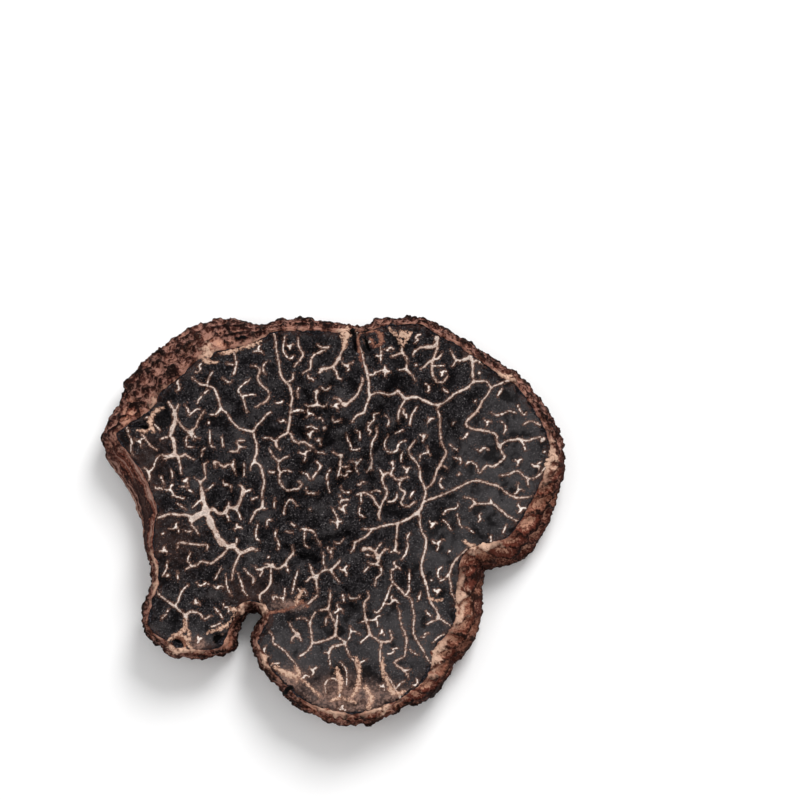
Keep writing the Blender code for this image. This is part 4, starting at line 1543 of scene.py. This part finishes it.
@dataclass
class Bark:
    """What the skin is like at each place of the ring: shares of the way round, stretches, the plateau,
    dome and height of the wart there, and wrinkles from -1 to 1. Each is a (stations, rows) array."""

    share: np.ndarray
    streaked: np.ndarray
    lumpy: np.ndarray
    plateau: np.ndarray
    dome: np.ndarray
    tall: np.ndarray
    crumple: np.ndarray
    grain: np.ndarray
    crumbs: np.ndarray
    folds: np.ndarray
    lines: np.ndarray


@dataclass
class SkinRing:
    """The warty skin: a closed ring whose cross-section runs from a lip on the upper face, over the cut
    edge, down the flared side, round the widest line and under the rim to a lip on the under face. Its
    rows are numbered -1 to 0 on the upper lip, 0 to 1 down the side, 1 to 2 below the widest line, and
    2 to 3 on the lower lip. One stretch has larger, slanting lumps, and one has streaks for warts.
    Stretches are shares of the way round, and a wrinkle is the cell and the seed of its noise."""

    rim: Rim

    # The lines that the cross-section passes through
    guides: tuple[Guide, ...] = (
        Guide(-1.0, Loop.CUT, inwards=1.05 * MM, up=-0.60 * MM),
        Guide(-0.55, Loop.CUT, lip_share=1.0, up=-0.10 * MM),
        Guide(-0.25, Loop.CUT, lip_share=0.5, up=0.04 * MM),
        Guide(0.0, Loop.CUT, up=LIP_RISE / 2),
        Guide(1.0, Loop.WIDEST),
        Guide(2.0, Loop.UNDER),
        Guide(2.35, Loop.UNDER, inwards=0.22 * MM, up=-0.03 * MM),
        Guide(2.65, Loop.UNDER, inwards=0.50 * MM, up=0.06 * MM),
        Guide(3.0, Loop.UNDER, inwards=0.95 * MM, up=0.60 * MM),
    )
    # Rows of each part of the cross-section, and where and how often its corners are rounded
    row_counts: tuple[int, ...] = (8, 34, 11, 5)
    rounded_rows: tuple[float, float] = (0.1, 2.0)
    rounding: int = 10

    # The upper lip: its width, how much wider it is where it is tan, and its noises (part, cell, seed)
    lip_in: float = 0.34 * MM
    lip_tan: float = 0.5
    lip_noises: tuple[tuple[float, float, int], ...] = ((0.40, 1.4 * MM, 60), (0.50, 0.55 * MM, 61))

    # Warts, and how far off one is looked for: in stations, and the longest distance
    wart_seed: int = 11
    wart_rows: tuple[float, ...] = (0.12, 0.48, 0.84, 1.25)
    wart_step: float = 1.50 * MM
    wart_jitter: float = 0.42
    wart_tallness: tuple[float, float] = (0.45, 1.0)
    wart_height: float = 0.52 * MM
    wart_level: float = 0.55
    dome_radius: float = 1.0 * MM
    dome_share: float = 0.4
    crease_width: float = 0.75 * MM
    window: int = 30
    farthest: float = 5 * MM

    # The stretch of lumps, whose creases are wider and whose rise is higher by these shares
    lumpy: tuple[float, float] = (0.375, 0.60)
    lump_rows: tuple[float, ...] = (0.22, 0.80, 1.85)
    lump_step: float = 1.85 * MM
    lump_slant: float = 2.0 * MM
    lump_crease: float = 0.4
    lump_rise: float = 0.8

    # The stretch of streaks: waves (part, turns down the side, bend) and bands (strength, row, width)
    streaked: tuple[float, float] = (0.90, 1.0)
    streak_waves: tuple[tuple[float, float, float], ...] = ((0.6, 3, 0.5), (0.4, 8, 1.0))
    streak_rise: float = 0.10 * MM
    pale_bands: tuple[tuple[float, float, float], ...] = ((1.0, 0.0, 0.10), (0.9, 0.92, 0.10))
    dark_band: tuple[float, float] = (0.45, 0.27)
    band_bend: float = 0.16
    brown_from: float = 0.955
    brown_blend: float = 0.02

    # Noise that makes creases waver, and wrinkles of the skin with how far they stand out
    shakes: tuple[Shake, ...] = (
        Shake(0.26 * MM, 0.55 * MM, (80, 81, 82)),
        Shake(0.10 * MM, 0.24 * MM, (90, 91, 92)),
    )
    crumple: tuple[float, int] = (0.75 * MM, 72)
    crumple_rise: float = 0.12 * MM
    crumbs: tuple[float, int] = (0.42 * MM, 73)
    crumb_rise: float = 0.11 * MM
    streak_crumb_rise: float = 0.05 * MM
    lip_crumb_rise: float = 0.06 * MM
    folds: tuple[float, int] = (0.95 * MM, 74)
    fold_rise: float = 0.16 * MM
    grain: tuple[float, int] = (0.32 * MM, 71)
    grain_rise: float = 0.05 * MM

    # Where the skin starts and ends and over how many rows, holes in it, and the cap on its relief
    skin_rows: tuple[tuple[float, float], ...] = ((-0.22, 0.30), (2.1, 0.35))
    lip_crumb_row: float = -0.6
    pit_depth: float = 0.45 * MM
    pit_rows: float = 0.9
    cap: float = 0.40 * MM
    cap_rows: float = 0.75

    # Ruddy stretches, which also carry the lumps' painted highlights, and fade down the side by a share,
    # from a row and over some rows
    ruddy: tuple[float, float] = (0.36, 0.70)
    ruddy_blend: float = 0.05
    ruddy_tip: tuple[float, float] = (0.0, 0.035)
    ruddy_share: float = 0.8
    least_ruddy: float = 0.2
    ruddy_fade: tuple[float, float, float] = (0.45, 0.45, 0.4)

    # How the finish is told of painted highlights on wart tops, painted shade in creases and wrinkles, and
    # fibres: levels, and how calm the lumps are
    dome_light_levels: tuple[float, float] = (0.55, 0.4)
    wrinkle_shade: float = 0.30
    wrinkle_level: float = 0.16
    calm_shade: float = 0.7
    calm_crumbs: float = 0.6
    streak_level: float = 0.5
    fibre_level: float = 0.48

    # The lip in rows: its middle and half width, its inner end, and how much further tan ones reach
    lip_row: float = 0.08
    lip_width: float = 0.30
    lip_width_tan: float = 0.50
    inner_row: float = 0.14
    inner_tan: float = 0.30
    inner_waver: float = 0.16
    inner_blend: float = 0.12
    inner_from: float = 2.5
    edge_noise: tuple[float, int] = (0.5 * MM, 75)
    strips: int = 4

    def rows(self) -> np.ndarray:
        """The rows of the cross-section, closer together where the skin shows."""
        starts = [np.linspace(i - 1, i, n, endpoint=False) for i, n in enumerate(self.row_counts)]
        return np.concatenate([*starts, [3.0]])

    def base(self, rows: np.ndarray) -> np.ndarray:
        """The ring without its warts: straight runs between guide loops, and half a sine wave of bulge on
        the side and below it.

        Args:
            rows: Rows of the cross-section.

        Returns:
            A (stations, rows, 3) array of places.
        """
        cut, widest, under, out = self.rim.cut, self.rim.widest, self.rim.under, self.rim.outward
        up = np.array([0.0, 0.0, 1.0])
        wide = np.ones(len(cut))
        for share, cell, seed in self.lip_noises:
            wide += share * value_noise(cut[:, :2], cell, seed)
        lip = out * (self.lip_in * wide * (1 + self.lip_tan * self.tan_stretch()))[:, None]
        followed = {Loop.CUT: cut, Loop.WIDEST: widest, Loop.UNDER: under}
        loops = []
        for guide in self.guides:
            inwards = out * guide.inwards + lip * guide.lip_share
            loops.append(followed[guide.loop] - inwards + up * guide.up)
        marks = np.array([guide.row for guide in self.guides])
        loops = np.stack(loops, axis=1)
        span = np.clip(np.searchsorted(marks, rows, side="right") - 1, 0, len(marks) - 2)
        part = ((rows - marks[span]) / (marks[span + 1] - marks[span]))[None, :, None]
        places = loops[:, span] * (1 - part) + loops[:, span + 1] * part
        away = widest - under
        straight = away / np.linalg.norm(away, axis=1)[:, None]
        side = np.where((rows > 0) & (rows < 1), np.sin(math.pi * rows), 0.0)
        below = np.where((rows > 1) & (rows < 2), np.sin(math.pi * (rows - 1)), 0.0)
        places += side[None, :, None] * SKIN_BULGE * straight[:, None, :]
        places += below[None, :, None] * BELOW_BULGE * (away * [1.0, 1.0, 0.0])[:, None, :]
        return places

    def tan_stretch(self) -> np.ndarray:
        """How tan the lip is at each station, from the patches where the skin's cut edge shows pale."""
        return near_patches(self.rim.cut, TAN_LIP_PATCHES)

    def wart_centres(self) -> tuple[np.ndarray, np.ndarray, np.ndarray]:
        """Places of the warts: staggered rows round the skin, each nudged. One stretch holds fewer and
        larger lumps.

        Returns:
            An (n, 3) array of places, the station of each, and how high each stands.
        """
        draw = np.random.default_rng(self.wart_seed)
        closed = np.vstack([self.rim.widest, self.rim.widest[:1]])
        length = float(np.linalg.norm(np.diff(closed, axis=0), axis=1).sum())
        kinds = ((self.wart_step, self.wart_rows, False), (self.lump_step, self.lump_rows, True))
        places, stations = [], []
        for step, rows, lumps in kinds:
            count = round(length / step)
            for number, row in enumerate(rows):
                nudge = draw.uniform(-self.wart_jitter, self.wart_jitter, count)
                share = (np.arange(count) + 0.5 * (number % 2) + nudge) / count % 1.0
                share = share[(in_stretch(share, self.lumpy) > 0.5) == lumps]
                station = np.round(share * self.rim.stations).astype(int) % self.rim.stations
                places.append(self.base(np.array([row]))[station, 0])
                stations.append(station)
        centres = np.vstack(places)
        centres += draw.uniform(-0.5, 0.5, centres.shape) * self.wart_jitter * self.wart_step
        return centres, np.concatenate(stations), draw.uniform(*self.wart_tallness, len(centres))

    def cells(self, places: np.ndarray) -> tuple[np.ndarray, np.ndarray, np.ndarray]:
        """The distances from each place to its nearest and second nearest wart, and the nearest's height.

        Args:
            places: A (stations, rows, 3) array.

        Returns:
            Three (stations, rows) arrays.
        """
        first = np.full(places.shape[:2], self.farthest)
        second, tall = first.copy(), np.ones(places.shape[:2])
        around = np.arange(-self.window, self.window + 1)
        for centre, station, height in zip(*self.wart_centres()):
            index = (station + around) % len(places)
            apart = np.linalg.norm(places[index] - centre, axis=2)
            nearest = first[index]
            second[index] = np.minimum(np.maximum(apart, nearest), second[index])
            tall[index] = np.where(apart < nearest, height, tall[index])
            first[index] = np.minimum(apart, nearest)
        return first, second, tall

    def bark(self, places: np.ndarray, along: np.ndarray, rows: np.ndarray) -> Bark:
        """Warts and wrinkles. A wart is a plateau that falls to a crease where its neighbour is as near,
        and its dome is 1 - d^2 of the distance to its centre. Creases waver, because distances are taken
        from places shaken by noise, and slant where places are also drawn along the ring by their row.
        Crumbs and folds are noise folded at its middle, and streaks are sine waves down the side.

        Args:
            places: A (stations, rows, 3) array.
            along: The direction round the ring at each.
            rows: Rows of the cross-section.

        Returns:
            The measures of the skin.
        """
        share = np.arange(len(places))[:, None] / len(places) * np.ones(len(rows))
        lumpy = in_stretch(share, self.lumpy)
        shaken = places + along * (self.lump_slant * (rows - 0.5) * lumpy)[:, :, None]
        for shake in self.shakes:
            shaken += shake.moves(places)
        first, second, tall = self.cells(shaken)
        crumple = value_noise(places, *self.crumple)
        lines = np.zeros(share.shape)
        for part, turns, bend in self.streak_waves:
            lines += part * np.sin(math.tau * (rows * turns + bend * crumple))
        return Bark(
            share=share,
            streaked=in_stretch(share, self.streaked),
            lumpy=lumpy,
            plateau=smooth_step((second - first) / (self.crease_width * (1 + self.lump_crease * lumpy))),
            dome=np.clip(1 - (first / self.dome_radius) ** 2, 0.0, 1.0),
            tall=tall,
            crumple=crumple,
            grain=value_noise(places, *self.grain),
            crumbs=1 - 2 * np.abs(value_noise(places, *self.crumbs)),
            folds=1 - 2 * np.abs(value_noise(places, *self.folds)),
            lines=lines,
        )

    def relief(self, bark: Bark, rows: np.ndarray, pits: np.ndarray) -> np.ndarray:
        """How far the skin stands out: warts or streaks with wrinkles down the side, and crumbs on the
        lips. What stands out is capped towards the cut edge, so the lip stays as wide as it is drawn.

        Args:
            bark: The measures of the skin.
            rows: Rows of the cross-section.
            pits: How deep in a hole each place is, from 0 to 1.

        Returns:
            Distances along the normal, in metres.
        """
        (start, rising), (end, falling) = self.skin_rows
        skin = smooth_step((rows - start) / rising) * smooth_step((end - rows) / falling)
        height = bark.plateau * bark.tall * (1 - self.dome_share + self.dome_share * bark.dome)
        warts = self.wart_height * (1 + self.lump_rise * bark.lumpy) * (height - self.wart_level)
        warts += self.crumple_rise * bark.crumple + self.crumb_rise * bark.crumbs
        warts += self.fold_rise * bark.folds * (1 - bark.lumpy)
        streaks = self.streak_rise * bark.lines + self.streak_crumb_rise * bark.crumbs
        relief = skin * (warts * (1 - bark.streaked) + streaks * bark.streaked)
        relief += self.grain_rise * bark.grain - self.pit_depth * pits
        relief += (1 - skin) * self.lip_crumb_rise * bark.crumbs * (rows > self.lip_crumb_row)
        return np.minimum(relief, self.cap * smooth_step(np.abs(rows) / self.cap_rows))

    def measures(self, bark: Bark, places: np.ndarray, rows: np.ndarray) -> dict[str, np.ndarray]:
        """The ring's attributes, which the finish follows: wart tops and crumbs, lit as painted highlights
        and darkened in their creases as painted shade, streaks, ruddy stretches, the lip and how tan it is,
        and the flesh that shows inwards of the lip.

        Args:
            bark: The measures of the skin.
            places: A (stations, rows, 3) array.
            rows: Rows of the cross-section.

        Returns:
            Attribute name to a (stations, rows) array.
        """
        warty = 1 - bark.streaked
        ground, top = self.dome_light_levels
        # Painted light and shade for the finish: wart tops lighter, creases and wrinkle hollows darker
        shades = self.wrinkle_shade * bark.crumbs + self.wrinkle_shade * bark.folds - self.wrinkle_level
        dome_light_and_shade = bark.plateau * (ground + top * bark.dome) + shades * (1 - self.calm_shade * bark.lumpy)
        # Ruddy colour, and also where the lumps' tops get painted highlights
        ruddy = in_stretch(bark.share, self.ruddy, self.ruddy_blend)
        ruddy += self.ruddy_share * (in_stretch(bark.share, self.ruddy_tip) + bark.streaked)
        ruddy = np.maximum(ruddy, near_patches(places, RUDDY_PATCHES))
        fade, start, width = self.ruddy_fade
        tan = self.tan_stretch()[:, None]
        edge = value_noise(self.rim.cut[:, :2], *self.edge_noise)[:, None]
        inwards = -rows - self.inner_row - self.inner_tan * tan + self.inner_waver * edge
        half_width = self.lip_width + self.lip_width_tan * tan
        least, most = self.wart_tallness
        return {
            "dome": dome_light_and_shade * warty + bark.streaked * self.streak_level,
            "tint": (bark.tall - least) / (most - least) * warty,
            "fibre": self.fibre_level + self.fibre_level * bark.lines * bark.streaked,
            "ruddy": np.maximum(ruddy, self.least_ruddy) * (1 - fade * smooth_step((rows - start) / width)),
            "ridge": bark.streaked * self.strip_pattern(bark.share, rows + self.band_bend * bark.crumple),
            "lip": smooth_step(1 - np.abs(rows + self.lip_row) / half_width),
            "tan_stretch": tan * np.ones(len(rows)),
            "inner": np.where(rows > self.inner_from, 1.0, smooth_step(inwards / self.inner_blend)),
            # What the painted highlights on crumbs and the painted shade between them follow
            "crumb": bark.crumbs * (1 - self.calm_crumbs * bark.lumpy) * warty,
        }

    def build(self, material: bpy.types.Material) -> bpy.types.Object:
        """Makes the ring: the base, moved along its normal by the relief of the skin.

        Args:
            material: What it is dressed with.

        Returns:
            The new object.
        """
        rows = self.rows()
        places = self.softened(self.base(rows), rows)
        along = np.roll(places, -1, axis=0) - np.roll(places, 1, axis=0)
        normal = self.softened(np.cross(np.gradient(places, axis=1), along), rows)
        normal /= np.maximum(np.linalg.norm(normal, axis=2), LEAST_NORMAL)[:, :, None]
        along /= np.linalg.norm(along, axis=2)[:, :, None]
        bark = self.bark(places, along, rows)
        pits = near_patches(places, SKIN_PITS) * (rows < self.pit_rows)
        places = places + normal * self.relief(bark, rows, pits)[:, :, None]
        found = self.measures(bark, places, rows) | {"pit": pits}
        values = {label: array.ravel() for label, array in found.items()}
        faces, flat = self.faces(*places.shape[:2]), self.surface_map(len(rows))
        return dressed_piece("truffle_skin", places.reshape(-1, 3), faces, values, flat, material)

    def softened(self, section: np.ndarray, rows: np.ndarray) -> np.ndarray:
        """Rounds the corners of the cross-section: each row moves half-way to the mean of its neighbours,
        several times over.

        Args:
            section: A (stations, rows, 3) array.
            rows: Rows of the cross-section.

        Returns:
            The same, rounded between the two lips.
        """
        low, high = self.rounded_rows
        loose = ((rows > low) & (rows < high))[None, :, None]
        for _ in range(self.rounding):
            middle = 0.5 * section + 0.25 * (np.roll(section, 1, axis=1) + np.roll(section, -1, axis=1))
            section = np.where(loose, middle, section)
        return section

    def strip_pattern(self, share: np.ndarray, rows: np.ndarray) -> np.ndarray:
        """Across the streaked stretch: pale at the cut edge and near the widest line, and dark between
        them, apart from its upper end, which is brown all over.

        Args:
            share: Shares of the way round the rim.
            rows: Rows of the cross-section.

        Returns:
            Values from -1, dark, to 1, pale.
        """
        pale = sum(part * bell(rows, row, width) for part, row, width in self.pale_bands)
        brown = smooth_step((share - self.brown_from) / self.brown_blend)
        return pale - bell(rows, *self.dark_band) * (1 - brown)

    def faces(self, stations: int, rows: int) -> list:
        """Quads over the grid, closed both round the rim and round the cross-section.

        Args:
            stations: How many places there are round the rim.
            rows: How many there are round the cross-section.

        Returns:
            Lists of vertex numbers.
        """
        i, j = np.meshgrid(np.arange(stations), np.arange(rows), indexing="ij")
        a, b = i * rows + j, (i + 1) % stations * rows + j
        c, d = (i + 1) % stations * rows + (j + 1) % rows, i * rows + (j + 1) % rows
        return np.stack([a, b, c, d], axis=2).reshape(-1, 4).tolist()

    def surface_map(self, rows: int) -> np.ndarray:
        """The ring unrolled and cut into strips that lie one above the other.

        Args:
            rows: How many rows the cross-section has.

        Returns:
            One place a face corner.
        """
        stations = self.rim.stations
        per_strip = stations // self.strips
        i, j = np.meshgrid(np.arange(stations), np.arange(rows), indexing="ij")
        strip = i // per_strip
        left = (i - strip * per_strip) / per_strip
        corners = []
        for di, dj in ((0, 0), (1, 0), (1, 1), (0, 1)):
            across = STRIP_STARTS[0] + STRIP_FILLS[0] * (left + di / per_strip)
            up = (strip + STRIP_STARTS[1] + STRIP_FILLS[1] * (j + dj) / rows) / self.strips
            corners.append(np.stack([across, up], axis=2))
        return np.stack(corners, axis=2).reshape(-1, 2)


@dataclass(frozen=True)
class Lamp:
    """A square soft light: its name, its place, the side of its square and its power in watts."""

    name: str
    place: tuple[float, float, float]
    side: float
    power: float

    def build(self) -> None:
        """Hangs the lamp, facing the slice."""
        light = bpy.data.lights.new(self.name, "AREA")
        light.size = self.side
        light.energy = self.power
        lamp = bpy.data.objects.new(self.name, light)
        lamp.location = self.place
        lamp.rotation_euler = (-Vector(self.place)).to_track_quat("-Z", "Y").to_euler()
        bpy.context.scene.collection.objects.link(lamp)


@dataclass
class Studio:
    """The white board, the soft light and the camera."""

    board_side: float = 6.0
    board_drop: float = 0.02 * MM
    lens: float = 180.0
    frame_readings: float = 800.0
    aim_reading: tuple[float, float] = (400.0, 400.0)
    sensor: float = 36.0
    sky: float = 0.56
    lamps: tuple[Lamp, ...] = (
        Lamp("key", (0.10, 0.20, 0.24), 0.16, 0.85),
        Lamp("fill", (-0.26, -0.10, 0.28), 0.30, 0.25),
    )

    def build(self) -> None:
        """Makes the board, the sky, the lamps and the camera."""
        self.board()
        world = bpy.data.worlds.new("studio")
        world.use_nodes = True
        world.node_tree.nodes["Background"].inputs["Color"].default_value = (1.0, 1.0, 1.0, 1.0)
        world.node_tree.nodes["Background"].inputs["Strength"].default_value = self.sky
        bpy.context.scene.world = world
        for lamp in self.lamps:
            lamp.build()
        self.camera()
        bpy.context.scene.view_settings.view_transform = "Standard"

    def board(self) -> None:
        """A flat sheet just under the slice."""
        half, low = self.board_side / 2, -self.board_drop
        corners = [(-half, -half, low), (half, -half, low), (half, half, low), (-half, half, low)]
        mesh = bpy.data.meshes.new("board")
        mesh.from_pydata(corners, [], [(0, 1, 2, 3)])
        mesh.materials.append(WHITE_BOARD.material())
        board = bpy.data.objects.new("board", mesh)
        bpy.context.scene.collection.objects.link(board)

    def camera(self) -> None:
        """A long lens that looks down on the slice at the angle of the readings."""
        right = (self.aim_reading[0] - ORIGIN_READING[0]) * READING
        above = (ORIGIN_READING[1] - self.aim_reading[1]) * READING
        lean = VIEW_ELEVATION
        target = Vector((right, above * math.sin(lean), above * math.cos(lean)))
        distance = self.lens / self.sensor * self.frame_readings * READING + THICKNESS
        seen = bpy.data.cameras.new("camera")
        seen.lens = self.lens
        seen.sensor_width = self.sensor
        camera = bpy.data.objects.new("camera", seen)
        camera.location = target + distance * Vector((0.0, -math.cos(lean), math.sin(lean)))
        camera.rotation_euler = (math.pi / 2 - lean, 0.0, 0.0)
        bpy.context.scene.collection.objects.link(camera)
        bpy.context.scene.camera = camera


def main() -> None:
    """Builds the slice's pieces in order, then the studio."""
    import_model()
    rim = Rim()
    net = VeinNet()
    net.place_read_lines()
    flesh = DRIED_FLESH.material()
    upper = FleshSheet("truffle_upper_flesh", Side.UPPER, rim.cut, UPPER_SPACING)
    net.grow_flecks(upper.lattice, upper.free_room(net.strands))
    upper.build(net.strands, flesh)
    lower = FleshSheet("truffle_under_flesh", Side.UNDER, rim.under, UNDER_SPACING)
    lower.build(net.drifted(), flesh)
    SkinRing(rim).build(DRIED_SKIN.material())
    Studio().build()


if __name__ == "__main__":
    logging.basicConfig(level=logging.INFO)
    main()
